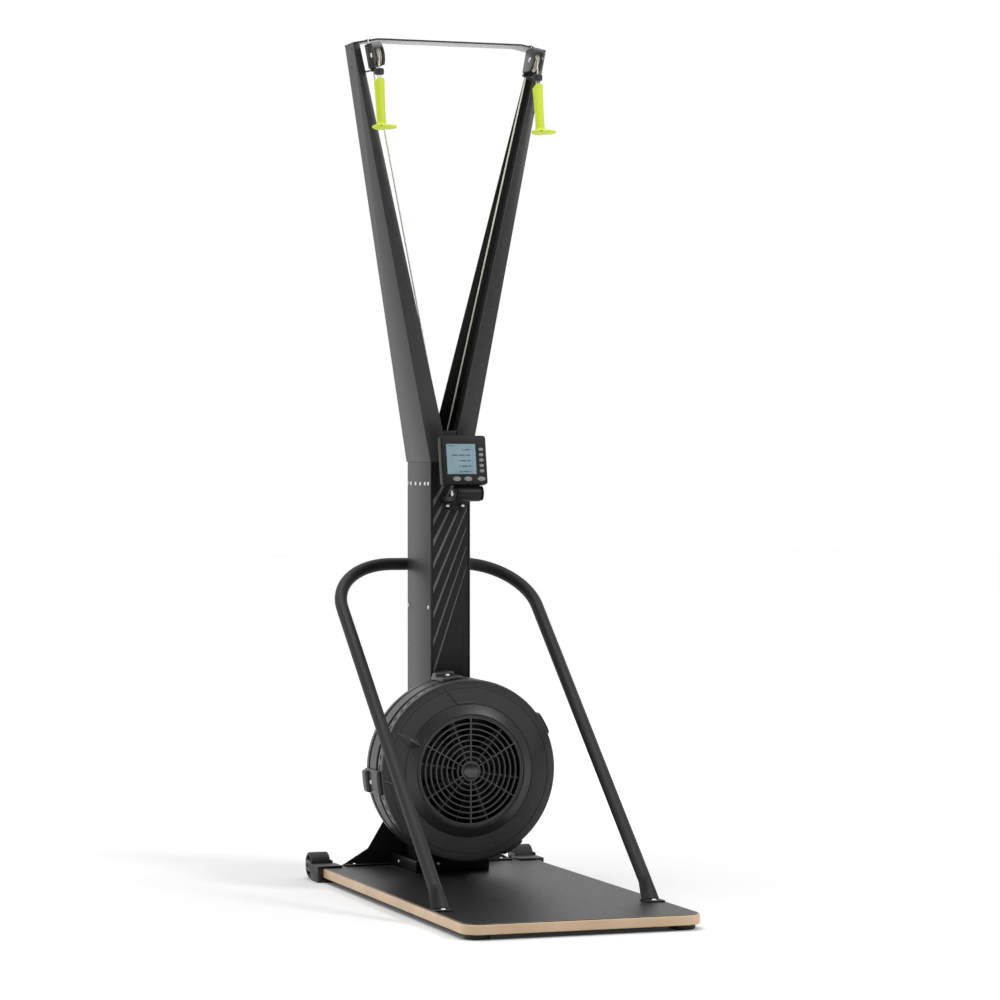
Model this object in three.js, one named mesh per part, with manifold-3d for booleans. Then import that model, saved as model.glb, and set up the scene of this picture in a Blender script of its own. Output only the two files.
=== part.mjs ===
// Ski trainer machine: a standing cardio trainer with two pull handles and an air-braked fan.
// Millimetres. X runs across the machine, -Y is its front and Z = 0 is the floor. Y = 0 is the
// front end of the rear brackets until the last lines centre the footprint on the origin.
import * as THREE from 'three';
import { mergeVertices } from 'three/addons/utils/BufferGeometryUtils.js';
import { ConvexGeometry } from 'three/addons/geometries/ConvexGeometry.js';
import Module from 'manifold-3d';

const wasm = await Module();
wasm.setup();

// Shared clearances
const gap = 0.3;
const overrun = 6;
const degree = Math.PI / 180;
const sides = [{ name: 'left', sign: -1 }, { name: 'right', sign: 1 }];

// Driving dimensions of the floor board and what it stands on
const foot = { radius: 30, height: 12, inset: 42, rim: 2.5 };
const board = { width: 585, front: -1141, rear: 62, thickness: 23, corner: 45, rearCorner: 4, round: 3 };
const sheet = { thickness: 1.5, inset: 3 };
const boardBottom = foot.height;
const boardTop = boardBottom + board.thickness;
const deck = boardTop + gap + sheet.thickness;

// Driving dimensions of the rear brackets and transport wheels
const bracket = { side: 14.5, cheek: 7.4, beyond: 2, flange: 5, sideClear: 1, ear: 4, earRadius: 14 };
const wheel = { radius: 33, width: 50, clear: 1, lift: 2, pin: 5, hub: 13, web: 6, rim: 8, round: 3 };

// Driving dimensions of the column, its floor shoe and its rear gusset
const column = { width: 106.6, front: -150.9, rear: 43.2, wall: 3, height: 1042 };
const shoe = { halfWidth: 98, forward: 19.1, floor: 5, height: 34, wall: 3.5, chamfer: 8 };
const gusset = { bracketGap: 12, kinkInset: 70, kinkHeight: 42, height: 219, wall: 4, flange: 30, shoeGap: 6 };
const panel = { recess: 3.3, thickness: 2.5, rise: 80, margin: 5, stripeDepth: 0.8, stripeCount: 8 };
const stripe = { width: 9, tip: 3.5, leftDrop: 155, leftStep: 53, leftGrow: 4.3,
  rightRise: 8, rightStep: 40, rightGrow: 2.33 };
const guide = { radius: 8, length: 64, ropeX: 6 };

// Driving dimensions of the two arms and the strap across their tops
const arm = { tilt: 11 * degree, rise: 1056, depthTop: 72.5, rearStep: 8, wall: 3,
  flangeTop: 16.6, middleGap: 2.2, tongue: 100, joggle: 15 };
const strap = { thickness: 4.5, beyond: 3.5, bendInset: 18.5 };

// Driving dimensions of the swivelling pulley blocks, the rope and the handles
const rope = { radius: 2, sides: 6 };
const swivel = { inset: 41.2, setBack: 2.9, bolt: 3.2, head: 6.5, headHeight: 4 };
const block = { wall: 3, rimClear: 2.6, topFlat: 2, lowFlat: 1, rear: 4, slotClear: 0.4, slotTop: 16,
  headroom: 6.72, lug: 8, lugLow: 12, ring: 6, spigot: 5, spigotWall: 1.7, spigotLength: 5 };
const sheave = { entry: 19, ropeRadius: 26, rimRise: 2.4, width: 12, sideClear: 3.5, pin: 4, rivet: 6.5,
  rivetHeight: 2 };
const tab = { thickness: 3, radius: 10, reachBack: 58 };
const stop = { radius: 12.5, height: 16, clear: 4, round: 2.5, stem: 2.4, stemLength: 10 };
const handle = { length: 131, radius: 13.5, waist: 12.6, lean: 10 * degree, flange: 33, flangeThickness: 8,
  flangeForward: 20, bevel: 4, bore: 5 };

// Driving dimensions of the fan drum
const drum = { clear: 43, radius: 225, depth: 139, standOff: 10, wall: 3.2, rearBand: 34, midBand: 61,
  edge: 5, groove: 2.5, grooveWidth: 3, shoulderBand: 27, bulge: 15, bossClear: 4.3, chamferRear: 12 };
const grille = { radius: 140, frame: 3.6, depth: 4, hub: 25, ringCount: 8, hubGap: 9.6, lastInset: 6.7,
  ring: 3.4, ringSet: 0.4, ringDepth: 3.2, spokeWidth: 2.6, spokeCount: 6, backSpoke: 3.4, backDepth: 2,
  backTurn: 20 * degree };
const cap = { radius: 20, height: 2.4, round: 1 };
const fan = { rimClear: 37, hub: 26, disc: 4, blade: 3, bladeRoot: 60, bladeDepth: 68, bladeCount: 12,
  ring: 12, ringDepth: 4, rimWidth: 20, rimDepth: 12, rearClear: 26, bladeLean: 20 * degree };
const shaft = { radius: 8, frontReach: 6, rearReach: 87.1 };
const bearing = { outer: 17, width: 10 };
const spool = { ropeRadius: 24, flange: 31, width: 12, flangeWidth: 2, setBack: 11.1, pitch: 22 };
const spring = { radius: 40, depth: 14, plate: 4, plateHeight: 96 };
const latch = { arc: 15.2 * degree, rearInset: 14, frontInset: 12, low: 8, high: 17, highDepth: 46 };
const latchAngles = [{ name: 'right', turn: 29 }, { name: 'top', turn: 97.5 },
  { name: 'left', turn: 186.6 }, { name: 'lower', turn: 301.5 }];

// Driving dimensions of the handrail
const rail = { radius: 16, inset: 29.3, straight: 93.2, height: 776.7, leanShare: 1.217, legEnd: 45,
  footWidth: 44, footThick: 12, footForward: 36, plateWidth: 48, plateDepth: 52, plate: 3, sides: 12 };

// Driving dimensions of the monitor, its bracket and its keys
const monitor = { forward: 102.1, pivotDrop: 79, lean: 10.2 * degree, width: 117, height: 125, depth: 24,
  barrelSink: 1.3, x: -1.7, corner: 7, round: 3, barrel: 20.5, leftInset: 16, rightInset: 1 };
const screen = { sideMargin: 11.8, keyMargin: 28, lowMargin: 26.2, topMargin: 21.6, recess: 2.2, glass: 1.6 };
const smallKey = { inset: 12.9, topMargin: 35.7, lowMargin: 34.3, halfWidth: 6.2, heightShare: 0.3273,
  count: 5 };
const largeKey = { lowMargin: 13.9, halfWidth: 10.5, halfHeight: 6, acrossShares: [-0.1855, 0.0675, 0.3684] };
const key = { proud: 1.6, deep: 5, travel: 1.2, clear: 0.4, bevel: 0.8 };
const stand = { ear: 6, earInset: 1.9, plate: 3, plateHeight: 34, plateDrop: 29, plateWidth: 62,
  plateInset: 8.3, arm: 26 };

// Places and sizes that follow from the ones above
const columnHalf = column.width / 2;
const boss = columnHalf - column.wall - drum.bossClear;
const gussetStart = shoe.halfWidth + gusset.shoeGap;
const joint = deck + column.height;
const panelFront = column.front + panel.recess;
const panelRear = panelFront + panel.thickness;
const bracketOuter = board.width / 2 + bracket.sideClear + bracket.side;
const wheelInner = bracketOuter - bracket.ear - gap - wheel.width;
const bracketInner = wheelInner - gap - bracket.ear - bracket.cheek;
const gussetReach = bracketInner - gusset.bracketGap;
const bracketDepth = board.rear + bracket.beyond;
const wheelCentreY = bracketDepth + bracket.ear / 2 + wheel.radius + wheel.clear;
const sheaveRim = sheave.ropeRadius + sheave.rimRise;
const sheaveOffset = sheave.ropeRadius + sheave.entry;
const blockRadius = sheaveRim + block.rimClear + block.wall;
const blockTop = blockRadius - block.topFlat;
const blockBottom = blockRadius - block.lowFlat;
const blockHalf = sheave.width / 2 + sheave.sideClear + block.wall;
const strapGap = blockTop + block.headroom;
const drumCentre = deck + drum.clear + drum.radius;
const drumShoulder = grille.radius + drum.shoulderBand;
const fanRadius = drum.radius - fan.rimClear;
const shaftRear = panelRear + shaft.rearReach;
const railHalf = board.width / 2 - rail.inset;
const railCorner = railHalf - rail.straight;
const monitorBottom = monitor.barrel - monitor.barrelSink;
const pivotY = column.front - monitor.forward;
const pivotZ = joint - monitor.pivotDrop;
const earRadius = monitor.barrel - stand.earInset;
const barrelRoom = columnHalf - column.wall - gap - stand.ear;
const barrelLeft = monitor.leftInset - barrelRoom;
const barrelRight = barrelRoom - monitor.rightInset;
const tiltBolt = { radius: 4, head: 8, headHeight: 3, nut: 7 };

const material = (color, roughness, metalness) =>
  new THREE.MeshStandardMaterial({ color, roughness, metalness });
const birch = material(0xd9b48a, 0.6, 0);
const deckSheet = material(0x2a2a2b, 0.7, 0);
const rubber = material(0x151515, 0.85, 0);
const blackPaint = material(0x242526, 0.5, 0.2);
const blackPlastic = material(0x1d1d1e, 0.6, 0);
const greyPaint = material(0x2f3031, 0.55, 0.2);
const zinc = material(0xc9cbcc, 0.3, 0.9);
const lime = material(0xc8f046, 0.55, 0);
const cord = material(0xd8d2c0, 0.8, 0);
const glassGrey = material(0x8fa9ae, 0.25, 0);
const keyGrey = material(0xa0a0a0, 0.6, 0);
const steel = material(0x8c8f92, 0.35, 0.9);

const machine = new THREE.Group();

// A closed geometry with its shared corners merged, made a solid that can be joined and cut
function solid(geometry) {
  const bare = geometry.index ? geometry.toNonIndexed() : geometry.clone();
  bare.deleteAttribute('normal');
  bare.deleteAttribute('uv');
  const merged = mergeVertices(bare);
  const place = merged.attributes.position;
  const corners = [];
  let volume = 0;
  const a = new THREE.Vector3();
  const b = new THREE.Vector3();
  const c = new THREE.Vector3();
  for (let i = 0; i < merged.index.count; i += 3) {
    const [p, q, r] = [0, 1, 2].map((step) => merged.index.getX(i + step));
    if (p === q || q === r || r === p) continue;
    a.fromBufferAttribute(place, p);
    b.fromBufferAttribute(place, q);
    c.fromBufferAttribute(place, r);
    volume += a.dot(b.cross(c));
    corners.push([p, q, r]);
  }
  const ordered = volume < 0 ? corners.map(([p, q, r]) => [p, r, q]) : corners;
  return new wasm.Manifold(new wasm.Mesh({
    numProp: 3,
    vertProperties: new Float32Array(place.array),
    triVerts: new Uint32Array(ordered.flat()),
  }));
}

const join = (first, ...others) => others.reduce((sum, other) => sum.add(other), first);
const cut = (first, ...others) => others.reduce((rest, other) => rest.subtract(other), first);

// A named mesh of a solid, placed in a group
function place(name, body, finish, group = machine) {
  const found = body.getMesh();
  const geometry = new THREE.BufferGeometry();
  geometry.setAttribute('position', new THREE.BufferAttribute(found.vertProperties, 3));
  geometry.setIndex(new THREE.BufferAttribute(found.triVerts, 1));
  const mesh = new THREE.Mesh(geometry, finish);
  mesh.name = name;
  group.add(mesh);
  return mesh;
}

const outline = (points) => new THREE.Shape(points.map(([u, v]) => new THREE.Vector2(u, v)));

function roundedOutline(left, right, low, high, radius, lowRadius = radius) {
  const shape = new THREE.Shape();
  shape.absarc(right - radius, high - radius, radius, 0, Math.PI / 2);
  shape.absarc(left + radius, high - radius, radius, Math.PI / 2, Math.PI);
  shape.absarc(left + lowRadius, low + lowRadius, lowRadius, Math.PI, 1.5 * Math.PI);
  shape.absarc(right - lowRadius, low + lowRadius, lowRadius, 1.5 * Math.PI, 2 * Math.PI);
  return shape;
}

function ovalOutline(u, v, halfWidth, halfHeight) {
  const shape = new THREE.Shape();
  shape.absellipse(u, v, halfWidth, halfHeight, 0, 2 * Math.PI);
  return shape;
}

// An outline pushed along one axis. On x its points are (y, z), on y (x, z) and on z (x, y).
function prism(shape, axis, from, to, curveSegments = 6, bevel = 0) {
  const flat = shape instanceof THREE.Shape ? shape : outline(shape);
  const geometry = new THREE.ExtrudeGeometry(flat, {
    depth: to - from - 2 * bevel,
    curveSegments,
    bevelEnabled: bevel > 0,
    bevelThickness: bevel,
    bevelSize: bevel,
    bevelOffset: -bevel,
    bevelSegments: 1,
  });
  geometry.translate(0, 0, bevel);
  const x = new THREE.Vector3(1, 0, 0);
  const y = new THREE.Vector3(0, 1, 0);
  const z = new THREE.Vector3(0, 0, 1);
  if (axis === 'x') geometry.applyMatrix4(new THREE.Matrix4().makeBasis(y, z, x)).translate(from, 0, 0);
  if (axis === 'y') {
    geometry.applyMatrix4(new THREE.Matrix4().makeBasis(x, z, y.clone().negate())).translate(0, to, 0);
  }
  if (axis === 'z') geometry.translate(0, 0, from);
  return solid(geometry);
}

const boxBetween = (x0, x1, y0, y1, z0, z1) =>
  solid(new THREE.BoxGeometry(x1 - x0, y1 - y0, z1 - z0)
    .translate((x0 + x1) / 2, (y0 + y1) / 2, (z0 + z1) / 2));

// A turned body. Its profile is (radius, distance along the axis) and closes on itself or on the axis.
function turned(profile, axis, segments = 32, centre = [0, 0, 0]) {
  const onAxis = profile[0][0] === 0;
  const points = (onAxis ? profile : [...profile, profile[0]]).map(([u, v]) => new THREE.Vector2(u, v));
  const geometry = new THREE.LatheGeometry(points, segments);
  if (axis === 'x') geometry.rotateZ(-Math.PI / 2);
  if (axis === 'z') geometry.rotateX(Math.PI / 2);
  geometry.translate(...centre);
  return solid(geometry);
}

const pinAlong = (axis, radius, from, to, centre, segments = 16) =>
  turned([[0, from], [radius, from], [radius, to], [0, to]], axis, segments, centre);

// A path whose rings stand exactly at the given stations
class StationPath extends THREE.Curve {
  constructor(stations) {
    super();
    this.stations = stations;
  }

  station(share) {
    return this.stations[Math.round(share * (this.stations.length - 1))];
  }

  getPoint(share) {
    return this.station(share).point.clone();
  }

  getPointAt(share) {
    return this.getPoint(share);
  }

  getTangentAt(share) {
    return this.station(share).tangent.clone();
  }
}

function tubeThrough(stations, radius, sideCount) {
  const corners = Array.from({ length: sideCount }, (unused, i) => {
    const turn = (2 * Math.PI * i) / sideCount;
    return [radius * Math.cos(turn), radius * Math.sin(turn)];
  });
  return solid(new THREE.ExtrudeGeometry(outline(corners), {
    steps: stations.length - 1,
    extrudePath: new StationPath(stations),
    bevelEnabled: false,
  }));
}

// Stations of a line through points, turned to the mean direction at each point between
function lineStations(points) {
  return points.map((point, i) => {
    const before = points[Math.max(i - 1, 0)];
    const after = points[Math.min(i + 1, points.length - 1)];
    const into = point.clone().sub(before).normalize();
    const out = after.clone().sub(point).normalize();
    return { point, tangent: into.add(out).normalize() };
  });
}

// Floor board, its top sheet and its front feet
function makeBoard() {
  const half = board.width / 2;
  const frontCorners = roundedOutline(-half, half, board.front, board.rear, board.rearCorner, board.corner);
  place('base_board', prism(frontCorners, 'z', boardBottom + gap, boardTop, 5, board.round), birch);
  const edge = half - sheet.inset;
  const sheetOutline = roundedOutline(-edge, edge, board.front + sheet.inset, board.rear - sheet.inset,
    board.rearCorner, board.corner - sheet.inset);
  place('tread_sheet', prism(sheetOutline, 'z', boardTop + gap, deck, 5), deckSheet);
  for (const { name, sign } of sides) {
    const profile = [[0, 0], [foot.radius - foot.rim, 0], [foot.radius, foot.rim],
      [foot.radius, foot.height], [0, foot.height]];
    const centre = [sign * (half - foot.inset), board.front + foot.inset, 0];
    place(`board_foot_${name}`, turned(profile, 'z', 16, centre), rubber);
  }
}

// Rear brackets that clamp the board's corners, with the pins and ears of the transport wheels
function makeRearBracket({ name, sign }) {
  const boardSide = board.width / 2 + bracket.sideClear;
  const top = deck + gap + bracket.flange;
  const span = (from, to) => (sign > 0 ? [from, to] : [-to, -from]);
  const bar = (from, to, y0, y1, z0, z1) => boxBetween(...span(from, to), y0, y1, z0, z1);
  const wheelZ = wheel.radius + wheel.lift;
  const clamp = join(
    bar(boardSide, bracketOuter, 0, bracketDepth, 0, top),
    bar(bracketInner, bracketOuter, 0, bracketDepth, deck + gap, top),
    bar(bracketInner, bracketOuter, 0, bracketDepth, 0, boardBottom),
    bar(bracketInner, bracketOuter, board.rear + gap, bracketDepth + bracket.ear / 2, 0, top),
  );
  const ears = [wheelInner - gap - bracket.ear, bracketOuter - bracket.ear].map((from) => {
    const [x0, x1] = span(from, from + bracket.ear);
    const plate = boxBetween(x0, x1, board.rear + gap, wheelCentreY,
      wheelZ - bracket.earRadius, wheelZ + bracket.earRadius);
    return plate.add(pinAlong('x', bracket.earRadius, x0, x1, [0, wheelCentreY, wheelZ], 14));
  });
  const [p0, p1] = span(wheelInner - gap - 2 * bracket.ear, bracketOuter + bracket.ear / 2);
  const pin = pinAlong('x', wheel.pin, p0, p1, [0, wheelCentreY, wheelZ], 12);
  const wheelSpace = boxBetween(...span(wheelInner - gap, bracketOuter - bracket.ear),
    wheelCentreY - wheel.radius - 2 * gap, wheelCentreY + wheel.radius, 0, top);
  place(`rear_bracket_${name}`, join(cut(clamp, wheelSpace), ...ears, pin), blackPaint);

  const bore = wheel.pin + gap;
  const profile = [[bore, -wheel.width / 2], [wheel.radius - wheel.round, -wheel.width / 2],
    [wheel.radius, wheel.round - wheel.width / 2],
    [wheel.radius, wheel.width / 2 - wheel.round], [wheel.radius - wheel.round, wheel.width / 2],
    [bore, wheel.width / 2]];
  const recess = (from, to) => turned([[wheel.hub, from], [wheel.radius - wheel.rim, from],
    [wheel.radius - wheel.rim, to], [wheel.hub, to]], 'x', 16);
  const body = cut(turned(profile, 'x', 16), recess(-wheel.width / 2 - overrun, wheel.web - wheel.width / 2),
    recess(wheel.width / 2 - wheel.web, wheel.width / 2 + overrun));
  const group = new THREE.Group();
  group.position.set(sign * (wheelInner + wheel.width / 2), wheelCentreY, wheelZ);
  machine.add(group);
  place(`transport_wheel_${name}`, body, rubber, group);
}

// Floor shoe, column, rear gusset and front panel
const columnFoot = deck + gap + shoe.floor + gap;

function makeColumn() {
  const low = deck + gap;
  const high = deck + shoe.height;
  const shoeFront = column.front - shoe.forward;
  const front = outline([[-shoe.halfWidth, low], [shoe.halfWidth, low],
    [shoe.halfWidth, high - shoe.chamfer], [shoe.halfWidth - shoe.chamfer, high],
    [shoe.chamfer - shoe.halfWidth, high], [-shoe.halfWidth, high - shoe.chamfer]]);
  const inner = shoe.halfWidth - shoe.wall;
  const shoeBody = cut(prism(front, 'y', shoeFront, column.rear),
    boxBetween(-inner, inner, shoeFront + shoe.wall, column.rear + overrun, low + shoe.floor, high + overrun));
  place('base_shoe', shoeBody, blackPaint);

  const hollow = columnHalf - column.wall;
  const top = joint - gap;
  const shell = cut(boxBetween(-columnHalf, columnHalf, column.front, column.rear, columnFoot, top),
    boxBetween(-hollow, hollow, column.front - overrun, column.rear - column.wall,
      columnFoot - overrun, top + overrun));
  place('column_shell', shell, greyPaint);

  const plateFront = column.rear + gap;
  const half = [[gussetReach, low], [gussetReach - gusset.kinkInset, deck + gusset.kinkHeight],
    [columnHalf, deck + gusset.height]];
  const mirrored = half.map(([x, z]) => [-x, z]).reverse();
  const plate = prism([...half, ...mirrored], 'y', plateFront, plateFront + gusset.wall);
  const flanges = sides.map(({ sign }) => {
    const ends = [sign * gussetStart, sign * (gussetReach - gusset.wall)].sort((a, b) => a - b);
    return boxBetween(...ends, plateFront - gusset.flange, plateFront + gusset.wall / 2, low, low + gusset.wall);
  });
  place('cross_gusset', join(plate, ...flanges), blackPaint);
}

const ropeGuideZ = joint + panel.rise - 2 * guide.radius;

function makePanel() {
  const half = columnHalf - column.wall - gap;
  let body = boxBetween(-half, half, panelFront, panelRear, columnFoot, joint + panel.rise);
  const shift = (first, step, grow, i) => joint + first - step * i - (grow * i * (i - 1)) / 2;
  for (let i = 0; i < panel.stripeCount; i += 1) {
    const turn = i - 1;
    const left = shift(-stripe.leftDrop, stripe.leftStep, stripe.leftGrow, turn);
    const right = shift(stripe.rightRise, stripe.rightStep, stripe.rightGrow, turn);
    const edge = half - panel.margin;
    const groove = [[-edge, left - stripe.width], [edge, right - stripe.tip], [edge, right + stripe.tip],
      [-edge, left + stripe.width]];
    body = body.subtract(prism(groove, 'y', panelFront - overrun, panelFront + panel.stripeDepth));
  }
  const shaftHole = pinAlong('y', bearing.outer + gap, panelFront - overrun, panelRear + overrun,
    [0, 0, drumCentre], 14);
  const guides = sides.map(({ sign }) => pinAlong('y', guide.radius, panelRear - gap, panelRear + guide.length,
    [sign * (guide.ropeX + rope.radius + gap + guide.radius), 0, ropeGuideZ], 12));
  place('front_panel', join(body.subtract(shaftHole), ...guides), blackPaint);
}

// Arms: channels open inwards, welded-on tabs for the pulley blocks, and tongues inside the column
const armTopZ = joint + arm.rise;
const armTopX = columnHalf + (armTopZ - joint) * Math.tan(arm.tilt);
const armRearBottom = column.rear + arm.rearStep;
const armRearTop = column.front + arm.depthTop;
const inward = { x: -Math.cos(arm.tilt), z: Math.sin(arm.tilt) };
const swivelDrop = Math.cos(arm.tilt)
  * (strapGap - gap * Math.cos(arm.tilt) - swivel.inset * Math.sin(arm.tilt));
const swivelZ = armTopZ - swivelDrop;
const swivelX = columnHalf + (swivelZ - joint) * Math.tan(arm.tilt) - swivel.inset;
const swivelY = column.front + swivel.setBack;
const strapUnder = (x) => armTopZ + (armTopX - x) * Math.tan(arm.tilt) + gap;

// Places a solid made in the swivel's own frame, whose z runs along the tilted swivel axis
const swivelFrame = (sign) => new THREE.Matrix4().makeRotationY(sign * arm.tilt)
  .setPosition(sign * swivelX, swivelY, swivelZ);

function makeArm({ name, sign }) {
  const x = (value) => sign * value;
  const flat = arm.wall / Math.cos(arm.tilt);
  const outerTop = [x(armTopX), armTopZ];
  const innerAt = (width) => [x(armTopX + inward.x * width), armTopZ + inward.z * width];
  const flangeOutline = [[x(columnHalf), joint], outerTop, innerAt(arm.flangeTop),
    [x(arm.middleGap), joint]];
  const webOutline = [[x(columnHalf), joint], outerTop, innerAt(arm.wall), [x(columnHalf - flat), joint]];
  const highest = armTopZ + overrun;
  const rearAt = (z) => armRearBottom + ((armRearTop - armRearBottom) * (z - joint)) / (armTopZ - joint);
  const far = columnHalf + armTopX;
  const along = (points) => prism(points, 'x', -far, far);
  const rearSlab = along([[rearAt(joint) - arm.wall, joint], [rearAt(joint), joint],
    [rearAt(highest), highest], [rearAt(highest) - arm.wall, highest]]);
  const sideSlab = along([[column.front, joint], [rearAt(joint), joint], [rearAt(highest), highest],
    [column.front, highest]]);
  const frontFlange = prism(flangeOutline, 'y', column.front, column.front + arm.wall);
  const rearFlange = prism(flangeOutline, 'y', column.front, armRearBottom + overrun).intersect(rearSlab);
  const web = prism(webOutline, 'y', column.front, armRearBottom + overrun).intersect(sideSlab);

  const tongueOuter = columnHalf - column.wall - gap;
  const tongueInner = tongueOuter - arm.wall;
  const rise = columnHalf + arm.joggle * Math.tan(arm.tilt) - arm.wall / 2;
  const tongueOutline = [[x(tongueInner), joint - arm.tongue], [x(tongueOuter), joint - arm.tongue],
    [x(tongueOuter), joint], [x(columnHalf - arm.wall / 2), joint], [x(rise), joint + arm.joggle],
    [x(tongueInner), joint + arm.joggle]];
  const tongue = prism(tongueOutline, 'y', panelRear + gap, column.rear - column.wall - gap);

  const webInside = (columnHalf + (swivelZ - joint) * Math.tan(arm.tilt) - swivelX) * Math.cos(arm.tilt);
  const tabLow = -blockBottom - gap - tab.thickness;
  const tabEdge = column.front - swivelY + arm.wall / 2;
  const tabPlate = prism([[x(webInside - arm.wall / 2), tabEdge], [x(webInside - arm.wall / 2), tab.reachBack],
    [x(-tab.radius / 2), tab.radius / 2], [x(0), tabEdge - arm.wall]], 'z', tabLow, tabLow + tab.thickness);
  const tabEye = pinAlong('z', tab.radius, tabLow, tabLow + tab.thickness, [0, 0, 0], 20);
  const tabHole = pinAlong('z', block.spigot + gap, tabLow - overrun, tabLow + tab.thickness + overrun,
    [0, 0, 0], 20);
  const tabSolid = tabPlate.add(tabEye).subtract(tabHole).transform(swivelFrame(sign).toArray());
  place(`arm_${name}`, join(web, frontFlange, rearFlange, tongue, tabSolid), greyPaint);
}

function makeStrap() {
  const bendX = swivelX - strap.bendInset;
  const under = [[bendX, strapUnder(bendX)], [armTopX, strapUnder(armTopX)]];
  const over = under.map(([x, z]) => [x, z + strap.thickness]).reverse();
  const half = [...under, ...over];
  const mirrored = half.map(([x, z]) => [-x, z]).reverse();
  const body = prism([...half, ...mirrored], 'y', column.front, armRearTop + strap.beyond);
  const holes = sides.map(({ sign }) => pinAlong('z', swivel.bolt + gap, blockTop, blockTop + arm.depthTop,
    [0, 0, 0]).transform(swivelFrame(sign).toArray()));
  place('top_strap', cut(body, ...holes), greyPaint);
}

// Pulley blocks, in their own tilted frame: z runs along the swivel axis and -y is the front
const blockGroups = {};

function blockOutline(inset, low) {
  const radius = blockRadius - inset;
  const high = blockTop - inset;
  const shape = new THREE.Shape();
  shape.moveTo(-block.rear - inset, -low);
  shape.lineTo(-block.rear - inset, high);
  shape.absarc(-sheaveOffset, 0, radius, Math.PI - Math.asin(high / radius),
    Math.PI + Math.asin(Math.min(blockBottom / radius, 1)));
  shape.lineTo(-sheaveOffset, -low);
  return shape;
}

function makeBlock({ name, sign }) {
  const group = new THREE.Group();
  group.position.set(sign * swivelX, swivelY, swivelZ);
  group.rotation.y = sign * arm.tilt;
  machine.add(group);
  blockGroups[name] = group;

  const half = blockHalf;
  const inner = half - block.wall;
  const outer = prism(blockOutline(0, blockBottom), 'x', -half, half, 5);
  const cavity = prism(blockOutline(block.wall, blockBottom + overrun), 'x', -inner, inner, 5);
  const fallReach = Math.sqrt(blockRadius ** 2 - sheave.ropeRadius ** 2);
  const slotHalf = rope.radius / Math.cos(arm.tilt) + fallReach * Math.tan(arm.tilt) + block.slotClear;
  const slot = boxBetween(-slotHalf, slotHalf, -sheaveOffset - blockRadius - overrun,
    -sheaveOffset - block.wall, -blockBottom - overrun, block.slotTop);
  const lug = pinAlong('z', block.lug, block.lugLow, strapGap - gap, [0, 0, 0], 14);
  const ring = pinAlong('z', block.lug, -blockBottom, block.ring - blockBottom, [0, 0, 0], 14);
  const spigot = pinAlong('z', block.spigot, -blockBottom - block.spigotLength, block.wall - blockBottom,
    [0, 0, 0], 14);
  const spigotBore = block.spigot - block.spigotWall;
  const ropeHole = pinAlong('z', spigotBore, -blockBottom - overrun - block.spigotLength, 0, [0, 0, 0], 10);
  const ropeWay = boxBetween(-spigotBore, spigotBore, -block.lug - block.rear, 0, -blockBottom, block.lugLow);
  const boltHole = pinAlong('z', swivel.bolt + gap, block.lugLow + block.wall, strapGap + overrun, [0, 0, 0], 12);
  const pin = pinAlong('x', sheave.pin, -half - sheave.rivetHeight / 2, half + sheave.rivetHeight / 2,
    [0, -sheaveOffset, 0], 12);
  const rivets = sides.map((side) => {
    const ends = [side.sign * (half - gap), side.sign * (half + sheave.rivetHeight)].sort((a, b) => a - b);
    return pinAlong('x', sheave.rivet, ...ends, [0, -sheaveOffset, 0], 12);
  });
  const housing = cut(join(cut(outer, cavity), lug, ring, spigot), slot, ropeHole, ropeWay, boltHole);
  place(`pulley_block_${name}`, join(housing, pin, ...rivets), blackPlastic, group);

  const bore = sheave.pin + gap;
  const floor = sheave.ropeRadius - rope.radius - gap;
  const wheelHalf = sheave.width / 2;
  const groove = rope.radius + gap;
  const profile = [[bore, -wheelHalf], [sheaveRim, -wheelHalf], [sheaveRim, gap - groove - wheelHalf / 2],
    [floor, -groove], [floor, groove], [sheaveRim, groove + wheelHalf / 2 - gap], [sheaveRim, wheelHalf],
    [bore, wheelHalf]];
  place(`sheave_${name}`, turned(profile, 'x', 18, [0, -sheaveOffset, 0]), cord, group);

  const headLow = strapGap + strap.thickness + gap;
  const bolt = turned([[0, block.lugLow + block.wall + gap], [swivel.bolt, block.lugLow + block.wall + gap],
    [swivel.bolt, headLow], [swivel.head, headLow], [swivel.head, headLow + swivel.headHeight],
    [0, headLow + swivel.headHeight]], 'z', 12);
  place(`swivel_bolt_${name}`, bolt, zinc, group);

  const centre = new THREE.Vector3(0, -sheaveOffset, 0);
  const low = new THREE.Vector3(0, 0, -blockBottom);
  const reach = low.distanceTo(centre);
  const start = Math.atan2(low.z, sheaveOffset) + Math.acos(sheave.ropeRadius / reach);
  const steps = 10;
  const arc = Array.from({ length: steps + 1 }, (unused, i) => {
    const turn = start + ((Math.PI - start) * i) / steps;
    return {
      point: new THREE.Vector3(0, Math.cos(turn), Math.sin(turn)).multiplyScalar(sheave.ropeRadius).add(centre),
      tangent: new THREE.Vector3(0, -Math.sin(turn), Math.cos(turn)),
    };
  });
  const entry = lineStations([new THREE.Vector3(0, 0, -blockBottom - block.spigotLength), low, arc[0].point]);
  place(`rope_wrap_${name}`, tubeThrough([...entry.slice(0, 2), ...arc], rope.radius, rope.sides), cord, group);
}

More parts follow.
